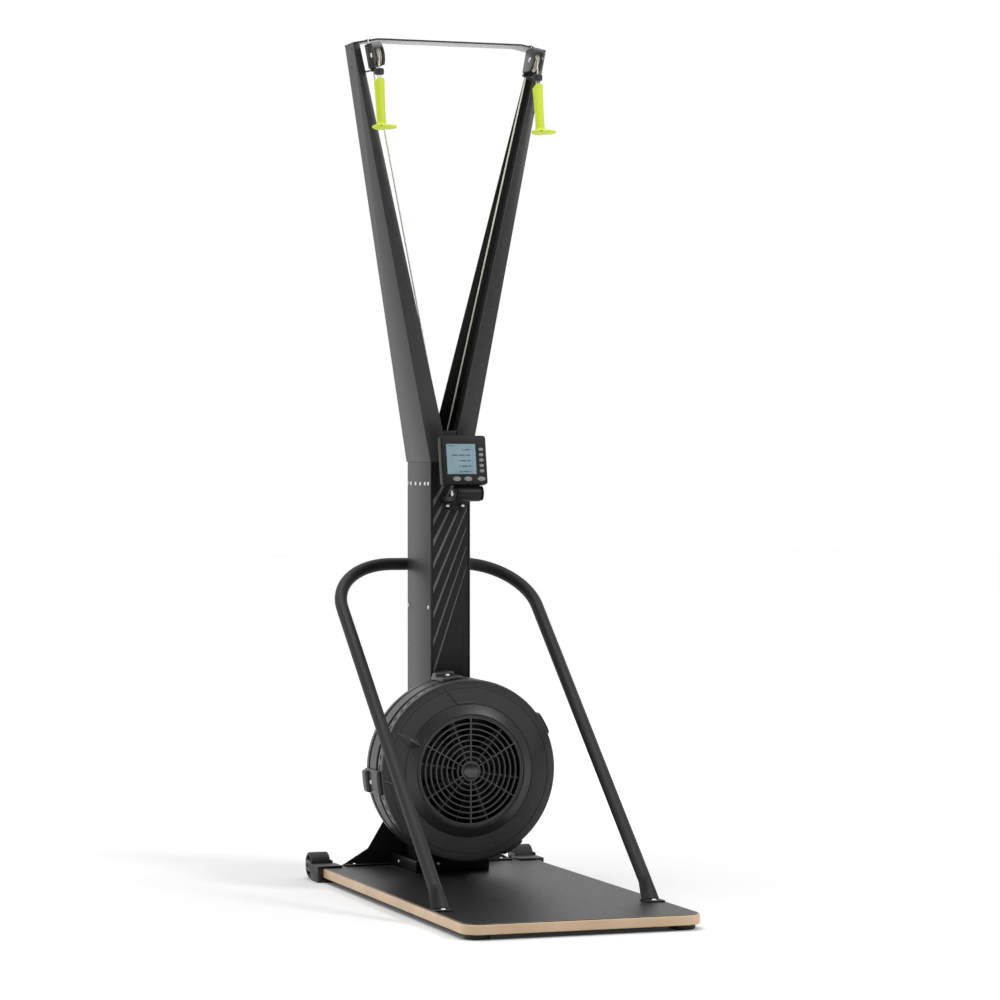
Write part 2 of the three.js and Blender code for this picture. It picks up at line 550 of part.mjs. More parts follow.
// The straight fall of rope, its stop and the leaning handle
function makeHandle({ name, sign }) {
  const fallX = sign * swivelX;
  const fallY = swivelY - sheaveOffset - sheave.ropeRadius;
  const fallTop = swivelZ - rope.radius * Math.sin(arm.tilt) - gap;
  const stopTop = swivelZ - blockBottom - stop.clear;
  const fall = pinAlong('z', rope.radius, stopTop + gap, fallTop, [fallX, fallY, 0], rope.sides);
  place(`rope_fall_${name}`, fall, cord);

  const stopLow = stopTop - stop.height;
  const stemLow = stopLow - stop.stemLength - handle.bore;
  const stopBody = turned([[0, stemLow], [stop.stem, stemLow], [stop.stem, stopLow],
    [stop.radius - stop.round, stopLow], [stop.radius, stopLow + stop.round],
    [stop.radius, stopTop - stop.round], [stop.radius - stop.round, stopTop], [0, stopTop]], 'z', 14,
  [fallX, fallY, 0]);
  place(`rope_stop_${name}`, stopBody, rubber);

  const group = new THREE.Group();
  group.position.set(fallX, fallY, stopLow - stop.stemLength);
  group.rotation.x = -handle.lean;
  machine.add(group);
  const end = -handle.length + handle.flangeThickness;
  const grip = turned([[0, end - handle.flangeThickness / 2], [handle.waist, end - handle.flangeThickness / 2],
    [handle.waist, end + handle.length / 4], [handle.radius, -handle.length / 6],
    [handle.radius, -handle.bevel], [handle.radius - handle.bevel, 0], [0, 0]], 'z', 16);
  const flange = prism(ovalOutline(0, -handle.flangeForward, handle.flange - handle.bevel, handle.flange),
    'z', -handle.length, end, 12, handle.flangeThickness / 3);
  const bore = pinAlong('z', stop.stem + 2 * gap, -handle.bore - 3 * gap, overrun, [0, 0, 0], 12);
  const tiltRoom = pinAlong('z', stop.stem + 2 * gap, -handle.bore - 3 * gap, overrun, [0, 0, 0], 12)
    .transform(new THREE.Matrix4().makeRotationX(handle.lean).toArray());
  place(`handle_${name}`, cut(join(grip, flange), bore, tiltRoom), lime, group);
}

// Fan drum: two covers, a grille with its cap, the fan on its shaft, bearings and rim latches
const drumRear = column.front - drum.standOff;
const drumFront = drumRear - drum.depth;
const drumSeam = drumRear - drum.rearBand - drum.midBand;
const grilleFront = drumFront - drum.bulge;
const drumGroup = new THREE.Group();
drumGroup.position.set(0, 0, drumCentre);
machine.add(drumGroup);

function makeDrum() {
  const { radius, wall, edge } = drum;
  const grooveY = drumRear - drum.rearBand;
  const bossEnd = panelFront - gap;
  const bearingFront = bossEnd - bearing.width - drum.wall;
  const bore = bearing.outer + gap;
  const rearProfile = [[shaft.radius + 4 * gap, bearingFront], [bore + wall, bearingFront],
    [boss, drumRear - wall], [radius - drum.chamferRear, drumRear - wall],
    [radius - wall, drumSeam],
    [radius, drumSeam], [radius, grooveY], [radius - drum.groove, grooveY],
    [radius - drum.groove, grooveY + drum.grooveWidth], [radius, grooveY + drum.grooveWidth],
    [radius, drumRear - drum.chamferRear + wall], [radius - drum.chamferRear + wall, drumRear],
    [boss, drumRear], [boss, bossEnd], [bore, bossEnd], [bore, bossEnd - bearing.width - gap],
    [shaft.radius + 4 * gap, bossEnd - bearing.width - gap]];
  place('drum_rear_cover', turned(rearProfile, 'y', 36), blackPlastic, drumGroup);

  const opening = grille.radius;
  const coverRear = drumSeam - gap;
  const frontProfile = [[radius, coverRear], [radius, drumFront + edge], [radius - edge, drumFront],
    [drumShoulder, drumFront], [opening + wall, grilleFront],
    [opening, grilleFront], [opening, grilleFront + grille.depth + 2 * gap],
    [opening - wall, grilleFront + grille.depth + 2 * gap],
    [opening - wall, grilleFront + grille.depth + 2 * gap + wall],
    [opening + wall, grilleFront + grille.depth + wall],
    [drumShoulder, drumFront + wall], [radius - edge, drumFront + wall], [radius - wall, coverRear]];
  place('drum_front_cover', turned(frontProfile, 'y', 36), blackPlastic, drumGroup);

  makeGrille();
  const centreY = grilleFront - gap;
  const capBody = turned([[0, centreY - cap.height], [cap.radius - cap.round, centreY - cap.height],
    [cap.radius, centreY - cap.height + cap.round], [cap.radius, centreY], [0, centreY]], 'y', 22);
  place('hub_cap', capBody, blackPlastic, drumGroup);

  const bearingBody = (rear) => turned([[shaft.radius + gap, rear - bearing.width],
    [bearing.outer, rear - bearing.width], [bearing.outer, rear], [shaft.radius + gap, rear]], 'y', 14);
  place('front_bearing', bearingBody(bossEnd), steel, drumGroup);
  const springRear = shaftRear - bearing.width;
  place('rear_bearing', bearingBody(springRear + bearing.width), steel, drumGroup);
  makeFan();
  makeSpools();
  for (const { name, turn } of latchAngles) makeLatch(name, turn * degree);
}

// The cast-looking grille: rings tied by six front spokes and six short back spokes
function makeGrille() {
  const back = grilleFront + grille.depth;
  const band = (inner, outer, from, to, segments) =>
    turned([[inner, from], [outer, from], [outer, to], [inner, to]], 'y', segments);
  const outerRadius = grille.radius - gap;
  let body = band(outerRadius - grille.frame, outerRadius, grilleFront, back, 36);
  const firstRing = grille.hub + grille.hubGap;
  const pitch = (grille.radius - grille.lastInset - firstRing) / (grille.ringCount - 1);
  for (let i = 0; i < grille.ringCount; i += 1) {
    const middle = firstRing + i * pitch;
    const front = grilleFront + grille.ringSet;
    body = body.add(turned([[middle - grille.ring / 2, front], [middle + grille.ring / 2, front],
      [middle, front + grille.ringDepth]], 'y', i < 4 ? 18 : 36));
  }
  body = body.add(pinAlong('y', grille.hub, grilleFront, back, [0, 0, 0], 18));
  const reach = outerRadius - grille.frame / 2;
  for (let i = 0; i < grille.spokeCount; i += 1) {
    const turn = (i * 2 * Math.PI) / grille.spokeCount;
    const front = new THREE.BoxGeometry(grille.spokeWidth, grille.depth, reach)
      .translate(0, (grilleFront + back) / 2, reach / 2).rotateY(turn);
    const low = new THREE.BoxGeometry(grille.backSpoke, grille.backDepth, reach)
      .translate(0, back - grille.backDepth / 2, reach / 2).rotateY(turn + Math.PI / 6 + grille.backTurn / 2);
    body = body.add(solid(front)).add(solid(low));
  }
  place('fan_grille', body, blackPlastic, drumGroup);
}

function makeFan() {
  const rear = drumRear - fan.rearClear;
  const discRear = rear - fan.rimDepth;
  const discFront = discRear - fan.disc;
  const bladeFront = discFront - fan.bladeDepth;
  const bore = shaft.radius + gap;
  const core = turned([[bore, bladeFront], [fan.hub, bladeFront], [fan.hub, discFront], [fanRadius, discFront],
    [fanRadius, rear], [fanRadius - fan.rimWidth, rear], [fanRadius - fan.rimWidth, discRear],
    [bore, discRear]], 'y', 24);
  const ring = turned([[fanRadius - fan.ring, bladeFront], [fanRadius, bladeFront],
    [fanRadius, bladeFront + fan.ringDepth], [fanRadius - fan.ring, bladeFront + fan.ringDepth]], 'y', 24);
  const length = fanRadius - fan.bladeRoot - fan.ring / 2;
  const blades = Array.from({ length: fan.bladeCount }, (unused, i) => {
    const blade = new THREE.BoxGeometry(fan.blade, fan.bladeDepth + fan.ringDepth / 2, length)
      .translate(0, (discFront + bladeFront + fan.ringDepth / 2) / 2, length / 2)
      .rotateY(fan.bladeLean).translate(0, 0, fan.bladeRoot)
      .rotateY((i * 2 * Math.PI) / fan.bladeCount);
    return solid(blade);
  });
  place('fan_wheel', join(core, ring, ...blades), greyPaint, drumGroup);

  const front = bladeFront - shaft.frontReach;
  place('fan_shaft', pinAlong('y', shaft.radius, front, shaftRear, [0, 0, 0], 14), steel, drumGroup);
}

// Rope spools on the shaft inside the column, and the carrier of the return spring behind them
const spoolY = (i) => panelRear + spool.setBack + i * spool.pitch;

function makeSpools() {
  sides.forEach(({ name }, i) => {
    const half = spool.width / 2;
    const lip = half + spool.flangeWidth;
    const bore = shaft.radius + gap;
    const floor = spool.ropeRadius - rope.radius - gap;
    const y = spoolY(i);
    const profile = [[bore, y - lip], [spool.flange, y - lip], [spool.flange, y - half], [floor, y - half],
      [floor, y + half], [spool.flange, y + half], [spool.flange, y + lip], [bore, y + lip]];
    place(`spool_${name}`, turned(profile, 'y', 16), steel, drumGroup);
  });
  const rearFace = shaftRear;
  const bore = bearing.outer + gap;
  const caseFront = rearFace - bearing.width - drum.wall - spring.depth;
  const springCase = turned([[shaft.radius + 4 * gap, caseFront], [spring.radius, caseFront],
    [spring.radius, rearFace], [bore, rearFace], [bore, rearFace - bearing.width - gap],
    [shaft.radius + 4 * gap, rearFace - bearing.width - gap]], 'y', 14);
  const halfWidth = columnHalf - column.wall - gap;
  const plate = cut(boxBetween(-halfWidth, halfWidth, rearFace - spring.plate, rearFace,
    -spring.plateHeight / 2, spring.plateHeight / 2),
  pinAlong('y', spring.radius - drum.wall, rearFace - spring.plate - overrun, rearFace + overrun, [0, 0, 0], 14));
  place('spring_carrier', springCase.add(plate), blackPaint, drumGroup);
}

function makeLatch(name, turn) {
  const arcBand = (outer, from, to, share) => {
    const shape = new THREE.Shape();
    const half = (latch.arc / 2) * share;
    shape.absarc(0, 0, outer, turn - half, turn + half, false);
    shape.absarc(0, 0, drum.radius + gap, turn + half, turn - half, true);
    return prism(shape, 'y', from, to, 3);
  };
  const rear = drumRear - latch.rearInset;
  const front = drumFront + latch.frontInset;
  const highShare = 0.86;
  const low = arcBand(drum.radius + latch.low, front, rear, 1);
  const high = arcBand(drum.radius + latch.high, rear - latch.highDepth, rear - latch.low, highShare);
  place(`cover_latch_${name}`, low.add(high), blackPlastic, drumGroup);
}

// Ropes from the block's swivel, round the panel's guide pins and down the column to the spools
function makeRopeRun({ name, sign }, index) {
  const top = new THREE.Vector3(0, 0, -blockBottom - block.spigotLength - gap).applyMatrix4(swivelFrame(sign));
  const end = new THREE.Vector3(spool.ropeRadius, spoolY(index), drumCentre);
  const wrap = guide.radius + gap + rope.radius;
  const centreX = guide.ropeX + wrap;
  const guideY = panelRear + guide.length - 2 * guide.radius;
  const towards = (point) => {
    const run = sign * point.x - centreX;
    const rise = point.z - ropeGuideZ;
    return { turn: Math.atan2(rise, run), lean: Math.acos(wrap / Math.hypot(run, rise)) };
  };
  const above = towards(top);
  const below = towards(end);
  const first = above.turn + above.lean;
  const last = below.turn + 2 * Math.PI - below.lean;
  const steps = 3;
  const bend = Array.from({ length: steps + 1 }, (unused, i) => {
    const turn = first + ((last - first) * i) / steps;
    return new THREE.Vector3(sign * (centreX + wrap * Math.cos(turn)), guideY, ropeGuideZ + wrap * Math.sin(turn));
  });
  place(`rope_run_${name}`, tubeThrough(lineStations([top, ...bend, end]), rope.radius, rope.sides), cord);
}

// Handrail: one bent tube in a slanted plane, flattened at both feet, with a bolted plate
function makeRail() {
  const slope = Math.atan(rail.leanShare);
  const down = new THREE.Vector3(0, -Math.sin(slope), -Math.cos(slope));
  const across = new THREE.Vector3(1, 0, 0);
  const middle = new THREE.Vector3(0, column.rear + rail.radius + gap, deck + rail.height);
  const legLength = (rail.height - rail.legEnd) / Math.cos(slope);
  const at = (x, s) => middle.clone().addScaledVector(across, x).addScaledVector(down, s);
  const steps = 6;
  const stations = [{ point: at(-railHalf, legLength), tangent: down.clone().negate() }];
  for (const sign of [-1, 1]) {
    for (let i = 0; i <= steps; i += 1) {
      const turn = sign < 0 ? (Math.PI / 2) * (1 - i / steps) : (Math.PI / 2) * (i / steps);
      const x = sign * (railHalf - railCorner + railCorner * Math.sin(turn));
      const s = railCorner * (1 - Math.cos(turn));
      const tangent = across.clone().multiplyScalar(Math.cos(turn))
        .addScaledVector(down, sign * Math.sin(turn));
      stations.push({ point: at(x, s), tangent });
    }
  }
  stations.push({ point: at(railHalf, legLength), tangent: down.clone() });
  let body = tubeThrough(stations, rail.radius, rail.sides);

  const low = deck + gap + rail.plate;
  for (const { sign } of sides) {
    const end = at(sign * railHalf, legLength);
    const side = down.clone().cross(across);
    const points = [];
    for (let i = 0; i < rail.sides; i += 1) {
      const turn = (2 * Math.PI * i) / rail.sides;
      points.push(end.clone().addScaledVector(down, -1).addScaledVector(across, rail.radius * Math.cos(turn))
        .addScaledVector(side, rail.radius * Math.sin(turn)));
    }
    const footY = end.y - rail.footForward;
    for (const u of [-1, 1]) {
      for (const v of [-1, 1]) {
        points.push(new THREE.Vector3(end.x + (u * rail.footWidth) / 2, footY + (v * rail.footThick) / 2,
          low - gap));
      }
    }
    const flattened = solid(new ConvexGeometry(points));
    const plate = boxBetween(end.x - rail.plateWidth / 2, end.x + rail.plateWidth / 2,
      footY - rail.plateDepth + rail.footThick, footY + rail.footThick, deck + gap, low);
    body = join(body, flattened, plate);
  }
  place('handrail', body, blackPaint);
}

// Monitor: housing with its tilt barrel, screen, keys, stand bracket and tilt bolt
function makeMonitor() {
  const group = new THREE.Group();
  group.position.set(0, pivotY, pivotZ);
  group.rotation.x = -monitor.lean;
  machine.add(group);
  const face = -monitor.depth;
  const left = monitor.x - monitor.width / 2;
  const right = monitor.x + monitor.width / 2;
  const shell = prism(roundedOutline(left, right, monitorBottom, monitorBottom + monitor.height,
    monitor.corner), 'y', face, 0, 3, monitor.round);
  const barrel = pinAlong('x', monitor.barrel, barrelLeft, barrelRight, [0, 0, 0], 20);
  const neck = boxBetween(barrelLeft + overrun, barrelRight - overrun,
    face / 2, -monitor.round, 0, monitorBottom + monitor.round);
  const top = monitorBottom + monitor.height;
  const glassLeft = left + screen.sideMargin;
  const glassRight = right - screen.keyMargin;
  const glassLow = monitorBottom + screen.lowMargin;
  const glassHigh = top - screen.topMargin;
  const glassRoom = boxBetween(glassLeft - gap, glassRight + gap, face - overrun, face + screen.recess,
    glassLow - gap, glassHigh + gap);
  const bore = pinAlong('x', tiltBolt.radius + gap, barrelLeft - overrun,
    barrelRight + overrun, [0, 0, 0], 12);

  const keys = [];
  const pitch = (monitor.height - smallKey.topMargin - smallKey.lowMargin) / (smallKey.count - 1);
  for (let i = 0; i < smallKey.count; i += 1) {
    const z = top - smallKey.topMargin - i * pitch;
    keys.push({ name: `side_key_${i + 1}`, x: right - smallKey.inset, z, halfWidth: smallKey.halfWidth,
      halfHeight: pitch * smallKey.heightShare });
  }
  largeKey.acrossShares.forEach((acrossShare, i) => {
    const x = monitor.x + monitor.width * acrossShare;
    keys.push({ ...largeKey, name: `lower_key_${i + 1}`, x, z: monitorBottom + largeKey.lowMargin });
  });
  const keyHoles = keys.map(({ x, z, halfWidth, halfHeight }) =>
    prism(ovalOutline(x, z, halfWidth + key.clear, halfHeight + key.clear), 'y', face - overrun,
      face + key.deep + key.travel + 2 * gap, 4));
  place('monitor_housing', cut(join(shell, barrel, neck), glassRoom, bore, ...keyHoles), blackPlastic, group);
  place('screen_glass', boxBetween(glassLeft, glassRight, face + screen.recess - gap - screen.glass,
    face + screen.recess - gap, glassLow, glassHigh), glassGrey, group);
  for (const { name, x, z, halfWidth, halfHeight } of keys) {
    place(name, prism(ovalOutline(x, z, halfWidth, halfHeight), 'y', face - key.proud,
      face + key.deep, 4, key.bevel), keyGrey, group);
  }
}

function makeStand() {
  const backY = panelFront - gap;
  const plateLow = pivotZ - stand.plateDrop - stand.plateHeight / 2;
  const plateHigh = plateLow + stand.plateHeight;
  const plateRight = columnHalf - column.wall - stand.plateInset;
  const plate = prism(roundedOutline(plateRight - stand.plateWidth, plateRight, plateLow, plateHigh,
    stand.plateHeight / 3), 'y', backY - stand.plate, backY, 4);
  const ear = (from, to, radius) => {
    const disc = pinAlong('x', radius, from, to, [0, pivotY, pivotZ], 16);
    const outlinePoints = [[pivotY, pivotZ - radius], [backY - stand.plate / 2, plateLow],
      [backY - stand.plate / 2, plateLow + stand.arm], [pivotY + radius, pivotZ],
      [pivotY, pivotZ + radius / 2]];
    return disc.add(prism(outlinePoints, 'x', from, to));
  };
  const leftEar = ear(barrelLeft - gap - stand.ear, barrelLeft - gap, earRadius);
  const rightEar = ear(barrelRight + gap, barrelRight + gap + stand.ear, earRadius);
  const bridge = boxBetween(barrelLeft - gap - stand.ear, barrelRight + gap + stand.ear,
    backY - stand.plate, backY, plateLow, plateLow + stand.arm);
  const hole = pinAlong('x', tiltBolt.radius + gap, barrelLeft - monitor.width, barrelRight
    + monitor.width, [0, pivotY, pivotZ], 12);
  place('monitor_stand', cut(join(plate, bridge, leftEar, rightEar), hole), blackPaint);

  const leftFace = barrelLeft - 2 * gap - stand.ear;
  const rightFace = barrelRight + 2 * gap + stand.ear;
  const bolt = turned([[0, leftFace - tiltBolt.headHeight], [tiltBolt.head, leftFace - tiltBolt.headHeight],
    [tiltBolt.head, leftFace], [tiltBolt.radius, leftFace], [tiltBolt.radius, rightFace],
    [tiltBolt.nut, rightFace], [tiltBolt.nut, rightFace + tiltBolt.headHeight],
    [0, rightFace + tiltBolt.headHeight]], 'x', 12, [0, pivotY, pivotZ]);
  place('tilt_bolt', bolt, zinc);
}

makeBoard();
sides.forEach(makeRearBracket);
makeColumn();
makePanel();
sides.forEach(makeArm);
makeStrap();
sides.forEach(makeBlock);
sides.forEach(makeHandle);
makeDrum();
sides.forEach(makeRopeRun);
makeRail();
makeMonitor();
makeStand();

// The footprint's middle goes to the origin
const rearEnd = wheelCentreY + wheel.radius;
machine.position.y = -(board.front + rearEnd) / 2;

export default machine;
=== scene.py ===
import math
import bpy
import bmesh
from mathutils import Matrix, Vector


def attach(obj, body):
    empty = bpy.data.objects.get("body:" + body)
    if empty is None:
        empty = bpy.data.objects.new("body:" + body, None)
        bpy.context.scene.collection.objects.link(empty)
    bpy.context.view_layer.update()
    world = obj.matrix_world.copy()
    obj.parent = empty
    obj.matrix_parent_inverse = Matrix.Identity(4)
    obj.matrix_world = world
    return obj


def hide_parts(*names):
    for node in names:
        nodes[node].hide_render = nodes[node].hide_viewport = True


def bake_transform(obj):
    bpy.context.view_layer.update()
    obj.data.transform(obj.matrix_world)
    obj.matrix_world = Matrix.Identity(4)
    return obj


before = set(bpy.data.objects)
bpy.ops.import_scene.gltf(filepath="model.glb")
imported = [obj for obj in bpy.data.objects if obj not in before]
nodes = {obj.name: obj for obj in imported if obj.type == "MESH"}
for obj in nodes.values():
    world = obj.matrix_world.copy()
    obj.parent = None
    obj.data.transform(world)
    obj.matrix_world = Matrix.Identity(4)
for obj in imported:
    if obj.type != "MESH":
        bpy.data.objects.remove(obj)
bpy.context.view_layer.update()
sides = (("left", -1), ("right", 1))
print("frame loaded")

# shared making tools, all in millimetres and degrees
making = {"smooth": 32, "plasticSmooth": 40, "corner": 40, "soften": 30, "flat": 0.8, "fold": 28,
          "weld": 1e-7, "nodeWeld": 1e-6, "nodeSpare": 1e-5}
upward, sideways, forward = (0, 0, 1), (1, 0, 0), (0, -1, 0)


def mm(*values):
    return Vector([value / 1000 for value in values])


def facing(centre, normal):
    turn = Vector(normal).normalized().to_track_quat("Z", "Y").to_matrix().to_4x4()
    return Matrix.Translation(mm(*centre)) @ turn


def turned(angle, axis, centre=(0, 0, 0)):
    return Matrix.Translation(mm(*centre)) @ Matrix.Rotation(math.radians(angle), 4, axis)


def linkNew(name, data):
    made = bpy.data.objects.new(name, data)
    bpy.context.collection.objects.link(made)
    return made


def smoothMesh(mesh, angle):
    mesh.shade_smooth()
    mesh.set_sharp_from_angle(angle=math.radians(angle))


def showPiece(name, bm, material, body, replaced=(), slot=None, angle=making["smooth"], recalculate=True):
    if recalculate:
        bmesh.ops.recalc_face_normals(bm, faces=bm.faces)
    mesh = bpy.data.meshes.new(name)
    bm.to_mesh(mesh)
    bm.free()
    smoothMesh(mesh, angle)
    for each in material if isinstance(material, list) else [material]:
        mesh.materials.append(each)
    piece = linkNew(name, mesh)
    if body:
        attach(piece, body)
    if replaced:
        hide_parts(*replaced)
    return piece


# a finished part is poured into the mesh that gathers its piece
def pour(part, bm, matrix=None):
    if matrix:
        bmesh.ops.transform(part, matrix=matrix, verts=part.verts)
    mesh = bpy.data.meshes.new("poured")
    part.to_mesh(mesh)
    part.free()
    bm.from_mesh(mesh)
    bpy.data.meshes.remove(mesh)


def bevelEdges(bm, edges, width, segments):
    bmesh.ops.bevel(bm, geom=edges, offset=width / 1000, offset_type="OFFSET", affect="EDGES",
                    segments=segments, profile=0.5, material=-1, clamp_overlap=True)


def sharpEdges(bm, angle):
    return [e for e in bm.edges if len(e.link_faces) == 2 and e.calc_face_angle(0) > math.radians(angle)]


def edgesAlong(bm, axis):
    return [e for e in bm.edges if abs((e.verts[0].co - e.verts[1].co).normalized()[axis]) > 0.99]


def grownVerts(grown):
    return [g for g in grown["geom"] if isinstance(g, bmesh.types.BMVert)]


# a profile of (radius, height) spun round the matrix's own Z
def addTurned(bm, profile, matrix, steps):
    part = bmesh.new()
    verts = [part.verts.new((radius / 1000, 0, height / 1000)) for radius, height in profile]
    pairs = list(zip(verts, verts[1:]))
    if profile[0][0] > 0:
        pairs.append((verts[-1], verts[0]))
    edges = [part.edges.new(pair) for pair in pairs]
    bmesh.ops.spin(part, geom=verts + edges, cent=(0, 0, 0), axis=upward, dvec=(0, 0, 0),
                   angle=math.tau, steps=steps, use_merge=True)
    bmesh.ops.remove_doubles(part, verts=part.verts, dist=making["weld"])
    pour(part, bm, matrix)


def showTurned(name, profile, matrix, steps, *look, **more):
    bm = bmesh.new()
    addTurned(bm, profile, matrix, steps)
    return showPiece(name, bm, *look, **more)


def startBlock(part, low, high):
    low, high = mm(*low), mm(*high)
    bmesh.ops.create_cube(part, size=1)
    bmesh.ops.scale(part, vec=high - low, verts=part.verts)
    bmesh.ops.translate(part, vec=(low + high) / 2, verts=part.verts)


def addBlock(bm, low, high, matrix=None, corner=0, cornerAxis=2, edge=0, segments=3):
    part = bmesh.new()
    startBlock(part, low, high)
    if corner:
        bevelEdges(part, edgesAlong(part, cornerAxis), corner, 6)
    if edge:
        bevelEdges(part, sharpEdges(part, making["corner"]), edge, segments)
    pour(part, bm, matrix)


# a ring carried from frame to frame; the Z of each frame runs along the path
def addSwept(bm, frames, radius, ringSides):
    part = bmesh.new()
    bmesh.ops.create_circle(part, cap_ends=True, radius=radius / 1000, segments=ringSides)
    bmesh.ops.transform(part, matrix=frames[0], verts=part.verts)
    edges = list(part.edges)
    for before, after in zip(frames, frames[1:]):
        grown = bmesh.ops.extrude_edge_only(part, edges=edges)
        ring = set(grownVerts(grown))
        edges = [g for g in grown["geom"] if isinstance(g, bmesh.types.BMEdge)
                 and g.verts[0] in ring and g.verts[1] in ring]
        bmesh.ops.transform(part, matrix=after @ before.inverted(), verts=list(ring))
    bmesh.ops.contextual_create(part, geom=edges)
    bmesh.ops.recalc_face_normals(part, faces=part.faces)
    pour(part, bm)


def framesAlong(points):
    frames = []
    turn = None
    for i, point in enumerate(points):
        ahead = (points[min(i + 1, len(points) - 1)] - point).normalized()
        behind = (point - points[max(i - 1, 0)]).normalized()
        tangent = (ahead + behind).normalized()
        if turn is None:
            turn = tangent.to_track_quat("Z", "Y")
        else:
            turn = (turn @ Vector(upward)).rotation_difference(tangent) @ turn
        frames.append(Matrix.Translation(point) @ turn.to_matrix().to_4x4())
    return frames


def applyModifiers(piece):
    graph = bpy.context.evaluated_depsgraph_get()
    mesh = bpy.data.meshes.new_from_object(piece.evaluated_get(graph))
    old = piece.data
    piece.modifiers.clear()
    piece.data = mesh
    bpy.data.meshes.remove(old)


def carve(piece, cutterMesh):
    mesh = bpy.data.meshes.new("cutter")
    bmesh.ops.recalc_face_normals(cutterMesh, faces=cutterMesh.faces)
    cutterMesh.to_mesh(mesh)
    cutterMesh.free()
    cutter = linkNew("cutter", mesh)
    modifier = piece.modifiers.new("carve", "BOOLEAN")
    modifier.operation = "DIFFERENCE"
    modifier.solver = "EXACT"
    modifier.object = cutter
    bpy.context.view_layer.update()
    applyModifiers(piece)
    bpy.data.objects.remove(cutter)
    bpy.data.meshes.remove(mesh)


def carveBlock(piece, low, high, matrix, **rounding):
    cutter = bmesh.new()
    addBlock(cutter, low, high, matrix, **rounding)
    carve(piece, cutter)


def softenEdges(piece, width, segments):
    modifier = piece.modifiers.new("soften", "BEVEL")
    modifier.width = width / 1000
    modifier.segments = segments
    modifier.limit_method = "ANGLE"
    modifier.angle_limit = math.radians(making["soften"])
    applyModifiers(piece)
    smoothMesh(piece.data, making["smooth"])


# a sheet-metal node kept in its CAD shape, with its edges broken as pressed steel has them
def trimmedCopy(name, node, material, bevel, slot, paint=None):
    bm = bmesh.new()
    bm.from_mesh(nodes[node].data)
    bmesh.ops.remove_doubles(bm, verts=bm.verts, dist=making["nodeWeld"])
    spare = making["nodeSpare"]
    box = [(min(v.co[i] for v in bm.verts) - spare, max(v.co[i] for v in bm.verts) + spare) for i in range(3)]
    bmesh.ops.dissolve_limit(bm, angle_limit=math.radians(making["flat"]), verts=bm.verts, edges=bm.edges)
    bevelEdges(bm, sharpEdges(bm, making["fold"]), bevel, 2)
    # a corner that the bevel threw outside the piece goes back to its neighbour
    strays = {v for v in bm.verts if any(not low <= v.co[i] <= high for i, (low, high) in enumerate(box))}
    targets = {}
    for v in strays:
        near = [e.other_vert(v) for e in v.link_edges if e.other_vert(v) not in strays]
        if near:
            targets[v] = min(near, key=lambda other: (other.co - v.co).length)
    bmesh.ops.weld_verts(bm, targetmap=targets)
    if paint:
        for face in bm.faces:
            face.material_index = int(paint(face))
    return showPiece(name, bm, material, "frame", [node], slot, recalculate=False)


# camera at the photograph's place, level with the middle of the column
camera = {"place": (-2.7556, -7.9494, 1.0813), "turn": 19.189, "lens": 123.465, "sensor": 36, "shift": -0.03895,
          "reach": 60}
cameraData = bpy.data.cameras.new("photoCamera")
cameraData.lens = camera["lens"]
cameraData.sensor_width = camera["sensor"]
cameraData.shift_y = camera["shift"]
cameraData.clip_end = camera["reach"]
cameraObject = linkNew("photoCamera", cameraData)
cameraObject.location = camera["place"]
cameraObject.rotation_euler = (math.radians(90), 0, math.radians(-camera["turn"]))
bpy.context.scene.camera = cameraObject
bpy.context.scene.view_settings.view_transform = "Standard"
print("camera placed")


# ---- materials
# sockets are linked where the value is another socket, and set where it is a number or a colour
def fillSockets(tree, node, sockets):
    for label, value in sockets.items():
        if hasattr(value, "is_linked"):
            tree.links.new(value, node.inputs[label])
        else:
            node.inputs[label].default_value = value


def addNode(tree, kind, sockets=None, **settings):
    node = tree.nodes.new(f"ShaderNode{kind}")
    for name, value in settings.items():
        setattr(node, name, value)
    fillSockets(tree, node, sockets or {})
    return node


def addMath(tree, operation, first, second):
    return addNode(tree, "Math", {0: first, 1: second}, operation=operation).outputs[0]


def addNoise(tree, vector, scale, detail, roughness):
    sockets = {"Vector": vector, "Scale": scale, "Detail": detail, "Roughness": roughness}
    return addNode(tree, "TexNoise", sockets).outputs["Fac"]


def addRange(tree, value, low, high, toLow=0, toHigh=1, kind="LINEAR"):
    sockets = {"Value": value, "From Min": low, "From Max": high, "To Min": toLow, "To Max": toHigh}
    return addNode(tree, "MapRange", sockets, interpolation_type=kind).outputs["Result"]


def addMix(tree, factor, first, second, blend="MIX"):
    sockets = {"Factor": factor, "A": first, "B": second}
    return addNode(tree, "Mix", sockets, data_type="RGBA", blend_type=blend).outputs["Result"]


def makeGroup(name, inputs, outputs):
    group = bpy.data.node_groups.new(name, "ShaderNodeTree")
    for label, value in inputs.items():
        kind = "NodeSocketVector" if value is None else "NodeSocketFloat"
        socket = group.interface.new_socket(name=label, in_out="INPUT", socket_type=kind)
        if value is not None:
            socket.default_value = value
    for label in outputs:
        group.interface.new_socket(name=label, in_out="OUTPUT", socket_type="NodeSocketFloat")
    return group, group.nodes.new("NodeGroupInput").outputs, group.nodes.new("NodeGroupOutput")


